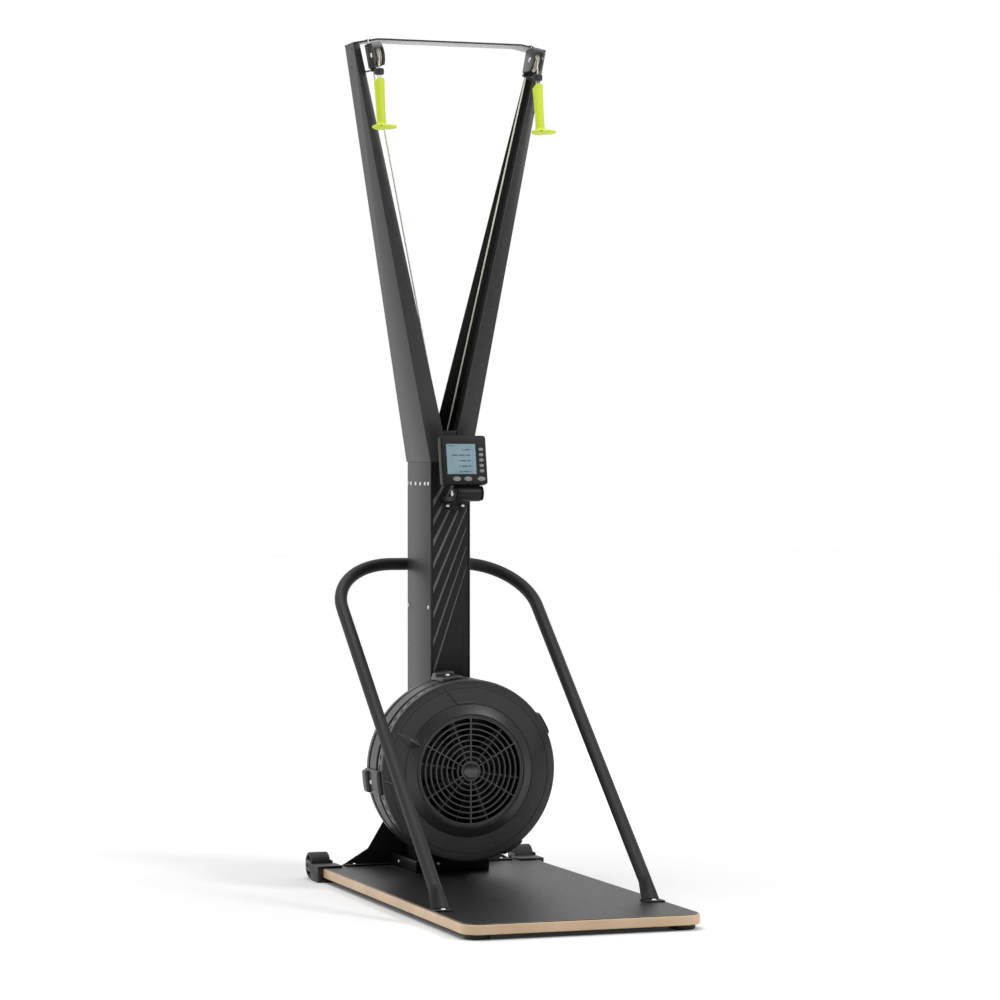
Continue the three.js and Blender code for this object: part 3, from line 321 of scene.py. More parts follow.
# fine moulded or sprayed grain over slow, broad changes of tone
def makeGrainGroup():
    inputs = {"Vector": None, "Grain Scale": 900, "Cloud Scale": 6, "Rough Base": 0.5, "Rough Swing": 0.1}
    group, entry, leave = makeGroup("surfaceGrain", inputs, ("Grain", "Cloud", "Roughness"))
    grain = addNoise(group, entry["Vector"], entry["Grain Scale"], 4, 0.6)
    cloud = addRange(group, addNoise(group, entry["Vector"], entry["Cloud Scale"], 2, 0.5), 0.34, 0.66)
    swing = addMath(group, "MULTIPLY", addMath(group, "SUBTRACT", cloud, 0.5), entry["Rough Swing"])
    rough = addMath(group, "ADD", swing, entry["Rough Base"])
    fillSockets(group, leave, {"Grain": grain, "Cloud": cloud, "Roughness": rough})
    return group


# lighter where the surface is convex, as on pressed edges: rubbed wear and a painted edge highlight
def makeEdgeWearHighlightGroup():
    group, entry, leave = makeGroup("edgeWearAndHighlight", {"Vector": None, "Amount": 0.4}, ["WearAndHighlight"])
    convex = addRange(group, addNode(group, "NewGeometry").outputs["Pointiness"], 0.53, 0.62)
    wornAndHighlit = addMath(group, "MULTIPLY", convex, addNoise(group, entry["Vector"], 60, 4, 0.6))
    fillSockets(group, leave, {"WearAndHighlight": addMath(group, "MULTIPLY", wornAndHighlit, entry["Amount"])})
    return group


grainGroup = makeGrainGroup()
edgeWearHighlightGroup = makeEdgeWearHighlightGroup()


# a colour of two values has the first one for red and green
def tone(colour):
    return (colour[0], *colour[-2:], 1)


def objectPlace(tree):
    return addNode(tree, "TexCoord").outputs["Object"]


def makeFinish(name, dark, light, rough, swing=0.08, grain=900, depth=0.02, cloud=6, metal=0, wearAndHighlight=0,
               wearAndHighlightTone=None, coat=0, coatRough=0.2, specular=0.5):
    material = bpy.data.materials.new(name)
    material.use_nodes = True
    tree = material.node_tree
    place = objectPlace(tree)
    sockets = {"Vector": place, "Grain Scale": grain, "Cloud Scale": cloud, "Rough Base": rough,
               "Rough Swing": swing}
    surface = addNode(tree, "Group", sockets, node_tree=grainGroup).outputs
    colour = addMix(tree, surface["Cloud"], tone(dark), tone(light))
    # convex edges are lightened towards the wear tone: rubbed wear and a painted edge highlight
    if wearAndHighlight:
        wornAndHighlit = addNode(tree, "Group", {"Vector": place, "Amount": wearAndHighlight}, node_tree=edgeWearHighlightGroup)
        colour = addMix(tree, wornAndHighlit.outputs["WearAndHighlight"], colour, tone(wearAndHighlightTone))
    bump = addNode(tree, "Bump", {"Distance": depth / 1000, "Height": surface["Grain"]})
    fillSockets(tree, tree.nodes["Principled BSDF"], {
        "Base Color": colour, "Roughness": surface["Roughness"], "Normal": bump.outputs["Normal"], "Metallic": metal,
        "Specular IOR Level": specular, "Coat Weight": coat, "Coat Roughness": coatRough})
    return material


framePaint = makeFinish("charcoalPowderCoat", (0.0125, 0.0127), (0.0255, 0.0258), 0.43, 0.1, depth=0.06, cloud=330,
                        wearAndHighlight=0.25, wearAndHighlightTone=(0.07, 0.07), specular=0.4)
blackPaint = makeFinish("satinBlackPaint", (0.0050, 0.0052), (0.0080, 0.0082), 0.42, grain=1300, depth=0.03,
                        wearAndHighlight=0.3, wearAndHighlightTone=(0.05, 0.05))
# a darker black than the other paint: painted shade for the shoe and gusset, which sit in shadow
shoeShadePaint = makeFinish("mattShoePaintWithPaintedShade", (0.0026, 0.0027), (0.0040, 0.0041), 0.5, grain=1300, depth=0.03,
                       specular=0.22)
railPaint = makeFinish("mattRailPaint", (0.0050, 0.0052), (0.0075, 0.0077), 0.55, grain=1400, depth=0.04,
                       specular=0.38)
panelPaint = makeFinish("panelBlack", (0.0038, 0.0039), (0.0056, 0.0057), 0.5, 0.06, grain=1500, depth=0.04,
                        specular=0.3)
strapPale = makeFinish("strapPale", (0.42, 0.43), (0.50, 0.51), 0.5, 0.06)
stripePaint = makeFinish("panelStripeGrey", (0.078, 0.080, 0.088), (0.105, 0.108, 0.118), 0.45, 0.06)
drumPlastic = makeFinish("grainedDrumPlastic", (0.0155, 0.0157), (0.0320, 0.0324), 0.38, 0.12, depth=0.05, cloud=330)
grillePlastic = makeFinish("grillePlastic", (0.054, 0.055), (0.068, 0.069), 0.45, grain=1100, depth=0.03)
blockPlastic = makeFinish("blockPlastic", (0.0120, 0.0118, 0.0112), (0.0170, 0.0167, 0.0160), 0.36, grain=1200,
                          depth=0.03)
monitorPlastic = makeFinish("monitorPlastic", (0.0034, 0.0035), (0.0050, 0.0051), 0.48, 0.06, grain=1600,
                            depth=0.03, specular=0.26)
badgeGloss = makeFinish("badgeGloss", (0.006, 0.0055, 0.005), (0.009, 0.008, 0.0075), 0.22, 0.04, depth=0.002,
                        coat=0.5, coatRough=0.1)
fanBlack = makeFinish("fanBlack", (0.0055, 0.0055), (0.0085, 0.0085), 0.5, 0.05)
rubberBlack = makeFinish("rubberBlack", (0.0080, 0.0080), (0.0130, 0.0130, 0.0125), 0.6, 0.1, grain=700, depth=0.08)
limeGrip = makeFinish("limeGrip", (0.50, 0.60, 0.040), (0.55, 0.66, 0.052), 0.55, 0.06, grain=1200, depth=0.04,
                      specular=0.3)
zincBright = makeFinish("zincBright", (0.70, 0.70), (0.82, 0.82), 0.42, 0.1, grain=600, metal=1)
zincDark = makeFinish("darkenedZinc", (0.02, 0.02), (0.04, 0.04), 0.4, 0.1, metal=1)
turnedSteel = makeFinish("turnedSteel", (0.45, 0.46, 0.47), (0.56, 0.57, 0.58), 0.32, 0.1, metal=1)
sheaveNylon = makeFinish("paleNylon", (0.58, 0.55, 0.46), (0.68, 0.65, 0.56), 0.45)
keyRubber = makeFinish("greyKeyRubber", (0.19, 0.19), (0.24, 0.24), 0.55, 0.05)
screenFace = makeFinish("screenFace", (0.20, 0.30, 0.34), (0.24, 0.35, 0.39), 0.25, 0.03, cloud=18, depth=0.002,
                        coat=0.3, coatRough=0.1)
screenInk = makeFinish("screenInk", (0.03, 0.05, 0.12), (0.05, 0.07, 0.15), 0.4, 0.03, depth=0.002)
brownScrew = makeFinish("brownScrew", (0.10, 0.05, 0.025), (0.14, 0.07, 0.035), 0.5, 0.05)
# a black non-slip film with a fine pebble and faint scuffs
treadFilm = makeFinish("treadFilm", (0.0020, 0.0020), (0.0210, 0.0210), 0.4, 0.1, grain=210, depth=0.9, cloud=230,
                       specular=0.2)


# bands across Z, stretched or turned by the mapping
def addBands(tree, mapping, scale, distortion, detail):
    place = addNode(tree, "Mapping", {"Vector": objectPlace(tree), **mapping}).outputs["Vector"]
    sockets = {"Vector": place, "Scale": scale, "Distortion": distortion, "Detail": detail}
    return addNode(tree, "TexWave", sockets, bands_direction="Z").outputs["Fac"]


# thin stacked veneers seen on the board's edge
def makePlywood():
    material = makeFinish("birchPlywood", (0.60, 0.43, 0.275), (0.70, 0.52, 0.345), 0.5, 0.1, grain=500, depth=0.05,
                          cloud=9, coat=0.15, coatRough=0.3)
    tree = material.node_tree
    shader = tree.nodes["Principled BSDF"]
    base = shader.inputs["Base Color"].links[0].from_socket
    tint = addRange(tree, addBands(tree, {"Scale": (0.6, 0.6, 1)}, 210, 0.35, 3), 0, 1, 0.22, 0)
    fillSockets(tree, shader, {"Base Color": addMix(tree, tint, base, (0.72, 0.58, 0.44, 1), "MULTIPLY")})
    return material


# braided cream cord, its strands from waves across the cord
def makeCord():
    material = makeFinish("creamCord", (0.62, 0.58, 0.47), (0.74, 0.70, 0.60), 0.75, 0.05, grain=2500, depth=0.4,
                          cloud=300)
    tree = material.node_tree
    strands = addBands(tree, {"Rotation": (0, math.radians(35), 0)}, 140, 1, 2)
    fillSockets(tree, tree.nodes["Bump"], {"Height": strands})
    return material


plywood = makePlywood()
creamCord = makeCord()
print("materials made")

# ---- floor board, its sheet and feet
board = {"halfWidth": 292.5, "front": -637, "rear": 566, "low": 12.3, "high": 35, "corner": 45, "rearCorner": 4,
         "edge": 3}
sheetTop = {"inset": 3.4, "low": 35.3, "high": 36.8, "edge": 0.5, "rim": 1.6}
foot = {"x": 250.5, "y": -595, "profile": [(0, 0), (26, 0), (28.5, 0.8), (29.6, 2.2), (30, 4), (30, 12), (0, 12)]}


def roundedBoard(inset, low, high, edge, edgeSegments):
    bm = bmesh.new()
    half, front, rear = board["halfWidth"] - inset, board["front"] + inset, board["rear"] - inset
    startBlock(bm, (-half, front, low), (half, rear, high))
    middle = (front + rear) / 2000
    for way, corner, segments in ((-1, board["corner"] - inset, 14), (1, board["rearCorner"], 4)):
        upright = [e for e in edgesAlong(bm, 2) if (e.verts[0].co.y - middle) * way > 0.4]
        bevelEdges(bm, upright, corner, segments)
    bevelEdges(bm, sharpEdges(bm, 60), edge, edgeSegments)
    return bm


def makeBoard():
    bm = roundedBoard(0, board["low"], board["high"], board["edge"], 4)
    for face in bm.faces:
        face.material_index = int(face.normal.z < -0.98)  # the film also covers the underside; its black is a dark sheet that deepens the shade in the gap under the board
    showPiece("boardCore", bm, [plywood, treadFilm], "frame", ["base_board"], "birch", recalculate=False)
    bm = roundedBoard(sheetTop["inset"], sheetTop["low"], sheetTop["high"], sheetTop["edge"], 2)
    top = max((f for f in bm.faces if f.normal.z > 0.98), key=lambda f: f.calc_area())
    for face in bmesh.ops.inset_region(bm, faces=[top], thickness=sheetTop["rim"] / 1000)["faces"]:
        face.material_index = 1
    showPiece("deckFilm", bm, [treadFilm, plywood], "frame", ["tread_sheet"], "sheet")
    for name, sign in sides:
        showTurned(f"frontFoot_{name}", foot["profile"], facing((sign * foot["x"], foot["y"], 0), upward), 48,
                   rubberBlack, "frame", [f"board_foot_{name}"], "rubber")


makeBoard()
print("board made")

# ---- rear brackets, wheels and the pressed steel frame
wheelShape = {"radius": 33, "half": 25, "round": 4, "bore": 5.3, "hub": 13, "rim": 8, "web": 6,
              "place": (278.7, 604, 35)}


def makeWheels():
    w = wheelShape
    half, deep, inner = w["half"], w["half"] - w["web"], w["radius"] - w["rim"]
    profile = [(w["bore"], -half), (w["hub"], -half), (w["hub"] + 0.5, -deep), (inner - 0.5, -deep), (inner, -half)]
    for a in [math.radians(15 * i) for i in range(7)]:
        profile.append((w["radius"] - w["round"] * (1 - math.sin(a)), -half + w["round"] * (1 - math.cos(a))))
    profile += [(r, -z) for r, z in reversed(profile)]
    x, y, z = w["place"]
    for name, sign in sides:
        showTurned(f"rollerWheel_{name}", profile, facing((sign * x, y, z), sideways), 72, rubberBlack,
                   f"wheel_{name}", [f"transport_wheel_{name}"], "tyre")


def isStripe(face):
    return 0.3571 < face.calc_center_median().y < 0.3575 and face.normal.y < -0.9


makeWheels()
for name, sign in sides:
    trimmedCopy(f"rearClamp_{name}", f"rear_bracket_{name}", blackPaint, 1.2, "black_paint")
    trimmedCopy(f"angledArm_{name}", f"arm_{name}", framePaint, 0.9, "frame_paint")
# the shoe and gusset take the darker black, which paints in their shade
trimmedCopy("floorShoe", "base_shoe", shoeShadePaint, 0.8, "black_paint")
trimmedCopy("rearGusset", "cross_gusset", shoeShadePaint, 0.8, "black_paint")
trimmedCopy("columnChannel", "column_shell", framePaint, 1.5, "frame_paint")
trimmedCopy("armStrap", "top_strap", [blackPaint, strapPale], 0.3, "frame_paint", lambda face: face.normal.z < -0.6)
trimmedCopy("grooveSheet", "front_panel", [panelPaint, stripePaint], 0.25, "black_paint", isStripe)
print("steel frame made")


# ---- screws and bolts
def addScrew(bm, centre, normal, radius=4.2, height=2.2, socket=1.5):
    floor = height - socket * 0.55
    profile = [(0, floor), (socket, floor), (socket, height - 0.15), (radius * 0.62, height - 0.1),
               (radius * 0.86, height * 0.72), (radius * 0.98, height * 0.35), (radius, 0), (0, 0)]
    addTurned(bm, profile, facing(centre, normal), 20)


# a size is the head's radius and height, and its socket's radius
screws = {"columnX": 53.2, "columnRow": [37.7, 9.6, -29.4, -68.1, -106.4, -133.7], "columnRowHeight": 1023.3,
          "columnPair": [33.5, -133.7], "columnPairHeight": 707.8, "columnSize": (4.8, 2.8, 0.9),
          "armTilt": 11, "armJoint": 1042, "armPair": ((-128.7, 2088.6), (-103.6, 2044.3)),
          "armSize": (3.2, 0.5, 2.2), "shift": 504, "deck": 36.8, "shoe": (-38.6, 29.8), "standX": (-11.5, 29)}


def makeScrews():
    s = screws
    bm = bmesh.new()
    for sign in (-1, 1):
        for row, z in (("columnRow", s["columnRowHeight"]), ("columnPair", s["columnPairHeight"])):
            for y in s[row]:
                addScrew(bm, (sign * s["columnX"], y + s["shift"], z), (sign, 0, 0), *s["columnSize"])
        addScrew(bm, (sign * 200, 536, 41), upward, 4.6, 2.4)
        addScrew(bm, (sign * 98, 479, 50), (sign, 0, 0), 4.4)
        addScrew(bm, (sign * 263.2, -387, 40), upward, 6, 3)
    addScrew(bm, (s["shoe"][0], 334.1, 58), forward, 4.4)
    for x in s["standX"]:
        addScrew(bm, (x, 339.8, 968.3), forward, 4.6, 2.4, 1.6)
    showPiece("brightScrews", bm, zincBright, "frame", slot="zinc")
    bm = bmesh.new()
    addScrew(bm, (s["shoe"][1], 334.1, 58), forward, 4.4)
    lean = math.radians(s["armTilt"])
    for sign in (-1, 1):
        for y, z in s["armPair"]:
            x = 53.3 + (z - s["armJoint"]) * math.tan(lean)
            addScrew(bm, (sign * x, y + s["shift"], z + s["deck"]), (sign * math.cos(lean), 0, -math.sin(lean)),
                     *s["armSize"])
        addScrew(bm, (sign * 308, 536, 22), (sign, 0, 0), 2.6, 0.5, 1.6)
    showPiece("darkScrews", bm, zincDark, "frame", slot="zinc")
    bm = bmesh.new()
    for sign in (-1, 1):
        addScrew(bm, (sign * 244, -596, 36.7), upward, 4, 0.8, 1.4)
    showPiece("boardScrews", bm, brownScrew, "frame", slot="zinc")


makeScrews()

# ---- fan drum
drum = {"height": 304.8, "rear": 343.1, "seam": 248.1, "front": 204.1, "lip": 189.1, "radius": 229.5, "deep": 9.5,
        "wall": 3.2, "groove": 309.1, "shoulder": 167, "opening": 140, "steps": 160, "ringGroove": 208,
        "slotCount": 56, "slotY": 226, "slotSize": (5.6, 3.6),
        "cuts": [((-69.2, 513), (-36.5, 474.8)), ((-33, 471.6), (2, 471.6)), ((-222, 276), (-204, 271))]}
drumFrame = facing((0, 0, drum["height"]), (0, 1, 0))


def makeCovers():
    d = drum
    r, wall, rear, seam, front, lip = (d[key] for key in ("radius", "wall", "rear", "seam", "front", "lip"))
    groove, shoulder, hole, ring, deep = d["groove"], d["shoulder"], d["opening"], d["ringGroove"], r - d["deep"]
    soft = making["plasticSmooth"]
    profile = [(21, 345.8), (46, rear - 4.5), (r - 18, rear - 4.5), (deep - 3, rear - 16), (deep - 3, seam),
               (deep, seam), (deep, seam + 6.5), (r - 1.6, seam + 7.5), (r - 0.6, seam + 8.6), (r - 0.6, groove - 3.8),
               (r - 1.8, groove - 2.6), (deep, groove - 1.8), (deep, groove + 6.8), (r - 1.4, groove + 7.4),
               (r, groove + 9), (r, rear - 12), (r - 1, rear - 7.5), (r - 3.6, rear - 3.6), (r - 8, rear - 1),
               (r - 13, rear), (46, rear), (46, 355.8), (21, 355.8)]
    showTurned("rearCoverShell", profile, drumFrame, d["steps"], drumPlastic, "frame", ["drum_rear_cover"],
               "black_plastic", soft)
    profile = [(r - 13, seam - 0.3), (deep, seam - 0.3), (deep, seam - 6.6), (r - 1.6, seam - 7.4),
               (r - 0.8, seam - 8.8), (r - 0.8, front + 5.6), (r - 1.1, front + 3.2), (r - 1.8, front + 1.5),
               (r - 3, front + 0.4), (r - 4.6, front), (ring + 1.1, front), (ring + 0.8, front + 1.5),
               (ring - 0.8, front + 1.5), (ring - 1.1, front), (shoulder + 1.1, front), (shoulder + 0.6, front + 1.4),
               (shoulder - 0.4, front + 1.2), (shoulder - 0.9, front - 0.6), (hole + 4.6, lip + 0.6),
               (hole + 2.8, lip - 0.2), (hole + 1.2, lip + 0.1), (hole + 0.2, lip + 1.4), (hole, lip + 8),
               (hole - 3, lip + 8), (hole - 3, lip + 10), (hole + 6, lip + 10), (shoulder, front + wall + 2),
               (r - 12, front + wall + 2), (r - 13, front + 12)]
    cover = showTurned("frontCoverShell", profile, drumFrame, d["steps"], drumPlastic, "frame",
                       ["drum_front_cover"], "black_plastic", soft)
    cutter = bmesh.new()
    across, along = d["slotSize"]
    for i in range(d["slotCount"]):
        addBlock(cutter, (r - 3.6, -across, d["slotY"] - along), (r + 5, across, d["slotY"] + along),
                 drumFrame @ turned(360 * (i + 0.5) / d["slotCount"], "Z"), edge=0.8, segments=2)
    carve(cover, cutter)
    for start, end in d["cuts"]:
        run = Vector((end[0] - start[0], end[1] - start[1]))
        slope = math.degrees(math.atan2(run.y, run.x))
        carveBlock(cover, (-1, -3, -1.7), (run.length + 1, 1.8, 1.7),
                   turned(-slope, "Y", (start[0], front, start[1])))
    smoothMesh(cover.data, soft)

    bm = bmesh.new()
    dart = [(-193.1, front + 0.4, 405.2), (-139.8, front + 0.4, 395.8), (-153.1, front + 0.4, 361.2),
            (-128.4, lip + 1.2, 367.7), (-160, front - 13, 386.6)]
    bmesh.ops.convex_hull(bm, input=[bm.verts.new(mm(*point)) for point in dart])
    bevelEdges(bm, list(bm.edges), 0.6, 2)
    seams = [[(-66.5, 207.3, 521), (-64.5, front + 0.6, 515), (-33, front + 0.4, 478.4), (-30, front + 0.4, 475.6),
              (-26, front + 0.4, 474.2), (-21, front + 0.5, 474.2), (4, front + 1.4, 476.6)],
             [(-226, 212, 285), (-219, front + 0.6, 283), (-204, front + 1.2, 277)]]
    for points in seams:
        addSwept(bm, framesAlong([mm(*point) for point in points]), 2.5, 10)
    showPiece("frontCoverMarks", bm, drumPlastic, "frame", slot="black_plastic")


grille = {"radius": 139.7, "frame": 3.6, "front": 189.1, "back": 193.1, "deep": 200, "first": 34.6, "pitch": 14.1,
          "ring": 3.4, "rings": 8, "hub": 25, "spokes": 6, "frontTurn": 30, "backTurn": 129.4}


def makeGrille():
    g = grille
    front, back, deep, hub, half = g["front"], g["back"], g["deep"], g["hub"], g["ring"] / 2
    outer, inner = g["radius"], g["radius"] - g["frame"]
    bm = bmesh.new()
    for i in range(g["rings"]):
        middle = g["first"] + i * g["pitch"]
        profile = [(middle - half + 0.5, front + 0.4), (middle + half - 0.5, front + 0.4), (middle + half, front + 1),
                   (middle + half - 0.2, deep), (middle - half + 0.2, deep), (middle - half, front + 1)]
        addTurned(bm, profile, drumFrame, 128)
    profile = [(inner + 0.5, front), (outer - 1.3, front), (outer - 0.8, front + 0.5), (outer - 0.8, back),
               (outer - 0.8, deep - 3), (inner + 0.6, deep - 3), (inner, front + 0.5)]
    addTurned(bm, profile, drumFrame, 128)
    profile = [(0, front + 1.2), (hub - 4.6, front + 1.2), (hub - 4.2, front), (hub - 0.6, front),
               (hub, front + 0.6), (hub, deep), (0, deep)]
    addTurned(bm, profile, drumFrame, 96)
    for i in range(g["spokes"]):
        half = 2 if i in (1, 4) else 1.4
        addBlock(bm, (22, -half, front + 0.1), (inner + 1, half, back),
                 drumFrame @ turned(g["frontTurn"] + 60 * i, "Z"), edge=0.4, segments=2)
        addBlock(bm, (22, -2.2, deep - 2.6), (inner + 2, 2.2, deep),
                 drumFrame @ turned(g["backTurn"] + 60 * i, "Z"), edge=0.3, segments=1)
    showPiece("ringGrille", bm, grillePlastic, "frame", ["fan_grille"], "black_plastic", making["plasticSmooth"])
    profile = [(0, 187.6), (17.5, 187.6), (18.6, 187.8), (19.5, 188.2), (20, 188.8), (20, 190.6), (0, 190.6)]
    showTurned("hubBadge", profile, drumFrame, 64, badgeGloss, "frame", ["hub_cap"], "black_plastic")


# for each latch its angle, arc and front; a slab is (inner, outer, front, rear)
latches = {"right": (29, 15.2, 216.1), "top": (98.6, 13.4, 230), "left": (186.6, 15.2, 214),
           "lower": (301.5, 15.2, 216.1)}
latchShape = {"low": (229.9, 238.6, 329.1), "high": (230, 247, 286, 322), "screw": 238.4, "screwY": 268}


def addArcSlab(bm, inner, outer, front, rear, arc, middle, soften):
    part = bmesh.new()
    corners = [part.verts.new((r / 1000, 0, y / 1000)) for r, y in
               ((inner, front), (outer, front), (outer, rear), (inner, rear))]
    face = part.faces.new(corners)
    bmesh.ops.rotate(part, cent=(0, 0, 0), matrix=Matrix.Rotation(math.radians(-arc / 2), 3, "Z"), verts=corners)
    bmesh.ops.spin(part, geom=[face] + corners + list(face.edges), cent=(0, 0, 0), axis=upward, dvec=(0, 0, 0),
                   angle=math.radians(arc), steps=4, use_merge=False)
    bmesh.ops.recalc_face_normals(part, faces=part.faces)
    bottom = (inner + 0.5) / 1000
    bevelEdges(part, [e for e in sharpEdges(part, 50) if max(v.co.xy.length for v in e.verts) > bottom], soften, 6)
    # angles run from +X towards +Z
    turn = turned(90, "X", (0, 0, drum["height"])) @ turned(middle, "Z")
    pour(part, bm, turn @ Matrix.Scale(-1, 4, upward))


def makeLatches():
    screwMesh = bmesh.new()
    for name, (middle, arc, front) in latches.items():
        bm = bmesh.new()
        inner, outer, rear = latchShape["low"]
        addArcSlab(bm, inner, outer, front, rear, arc, middle, 6.5)
        addArcSlab(bm, *latchShape["high"], arc * 0.9, middle, 7)
        showPiece(f"seamLatch_{name}", bm, blockPlastic, "frame", [f"cover_latch_{name}"], "black_plastic")
        a = math.radians(middle)
        reach = latchShape["screw"]
        centre = (reach * math.cos(a), latchShape["screwY"], drum["height"] + reach * math.sin(a))
        addScrew(screwMesh, centre, (math.cos(a), 0, math.sin(a)), 5.4, 3.4)
    showPiece("latchScrews", screwMesh, zincBright, "frame", slot="zinc")


makeCovers()
makeGrille()
makeLatches()
print("drum made")

# ---- handrail; a station of the pressed foot is (share of the way, width, thickness)
rail = {"radius": 16, "half": 263.2, "corner": 170, "rise": 776.7, "slope": 1.217, "end": 45, "deck": 36.8,
        "middleY": 563.5, "steps": 20, "footForward": 36, "gap": 0.3, "plate": 3,
        "stations": ((0, 1, 1), (0.12, 1.02, 1), (0.3, 1.12, 0.86), (0.62, 1.3, 0.56), (1, 1.4, 0.42))}


def makeRail():
    w = rail
    slope = math.atan(w["slope"])
    down = Vector((0, -math.sin(slope), -math.cos(slope)))
    middle = Vector((0, w["middleY"], w["deck"] + w["rise"]))
    length = (w["rise"] - w["end"]) / math.cos(slope)

    def place(x, s):
        return middle + Vector((x, 0, 0)) + down * s

    points = [place(-w["half"], length * k) for k in (1, 0.98, 0.75, 0.5)]
    for sign in (-1, 1):
        for i in range(w["steps"] + 1):
            turn = math.pi / 2 * (1 - i / w["steps"] if sign < 0 else i / w["steps"])
            points.append(place(sign * (w["half"] - w["corner"] + w["corner"] * math.sin(turn)),
                                w["corner"] * (1 - math.cos(turn))))
    points += [place(w["half"], length * k) for k in (0.5, 0.75, 0.98, 1)]
    bm = bmesh.new()
    addSwept(bm, framesAlong([point / 1000 for point in points]), w["radius"], 32)
    base = w["deck"] + w["gap"]
    low = base + w["plate"]
    for name, sign in sides:
        end = place(sign * w["half"], length)
        # the pressed end: the tube's ring grows flat and wide down to the plate
        frames = []
        toe = Vector((end.x, end.y - w["footForward"], low - 0.2))
        for share, wide, thick in w["stations"]:
            lean = down.lerp(Vector((0, -0.35, -1)).normalized(), min(share * 1.6, 1)).normalized()
            turn = lean.to_track_quat("Z", "Y").to_matrix().to_4x4()
            spot = Matrix.Translation(end.lerp(toe, share) / 1000)
            frames.append(spot @ turn @ Matrix.Diagonal((wide, thick, 1, 1)))
        addSwept(bm, frames, w["radius"], 32)
        addBlock(bm, (end.x - 24, toe.y - 40, base), (end.x + 24, toe.y + 12, low), corner=5, edge=0.7, segments=2)
    showPiece("bentHandrail", bm, railPaint, "frame", ["handrail"], "black_paint", angle=45)


makeRail()
print("handrail made")

# ---- pulley blocks, ropes and handles
swivel = {"x": 211.5, "y": 356, "z": 2104.8, "tilt": 11, "offset": 45, "rope": 26, "bottom": 33, "spigot": 5}
block = {"half": 12.5, "wall": 2.6, "roof": 1.6, "radius": 33, "top": 31, "bottom": 29.5, "rear": 4, "slot": 6.7,
         "slotTop": 14}
cord = {"radius": 2, "sides": 12, "fallTop": 2104.1, "fallLow": 2068.1, "wrap": 10.3, "guideX": 16.3,
        "guideY": 406.9, "guideZ": 1142.8, "spoolX": 24, "spoolY": {"left": 370, "right": 392}}


def blockFrame(sign):
    return turned(sign * swivel["tilt"], "Y", (sign * swivel["x"], swivel["y"], swivel["z"]))


def cutAway(bm, place, normal):
    bmesh.ops.bisect_plane(bm, geom=bm.verts[:] + bm.edges[:] + bm.faces[:], plane_co=place, plane_no=normal,
                           clear_outer=True, dist=making["weld"])


# a D-shaped slab: half a disc with a square rear, lying across X
def addDShape(bm, matrix, radius, rear, top, bottom, half):
    part = bmesh.new()
    bmesh.ops.create_circle(part, cap_ends=True, radius=radius / 1000, segments=96)
    cutAway(part, (0, 0, 0), sideways)
    cut = [e for e in part.edges if all(abs(v.co.x) < 1e-6 for v in e.verts)]
    grown = bmesh.ops.extrude_edge_only(part, edges=cut)
    bmesh.ops.translate(part, vec=((swivel["offset"] - rear) / 1000, 0, 0), verts=grownVerts(grown))
    for height, way in ((top, 1), (-bottom, -1)):
        cutAway(part, (0, height / 1000, 0), (0, way, 0))
    bmesh.ops.dissolve_faces(part, faces=part.faces[:])
    grown = bmesh.ops.extrude_face_region(part, geom=part.faces[:])
    bmesh.ops.translate(part, vec=(0, 0, 2 * half / 1000), verts=grownVerts(grown))
    bmesh.ops.recalc_face_normals(part, faces=part.faces)
    # the drawing's X and Y become the block's Y and Z
    turn = Matrix(((0, 0, 1, -half / 1000), (1, 0, 0, -swivel["offset"] / 1000), (0, 1, 0, 0), (0, 0, 0, 1)))
    pour(part, bm, matrix @ turn)


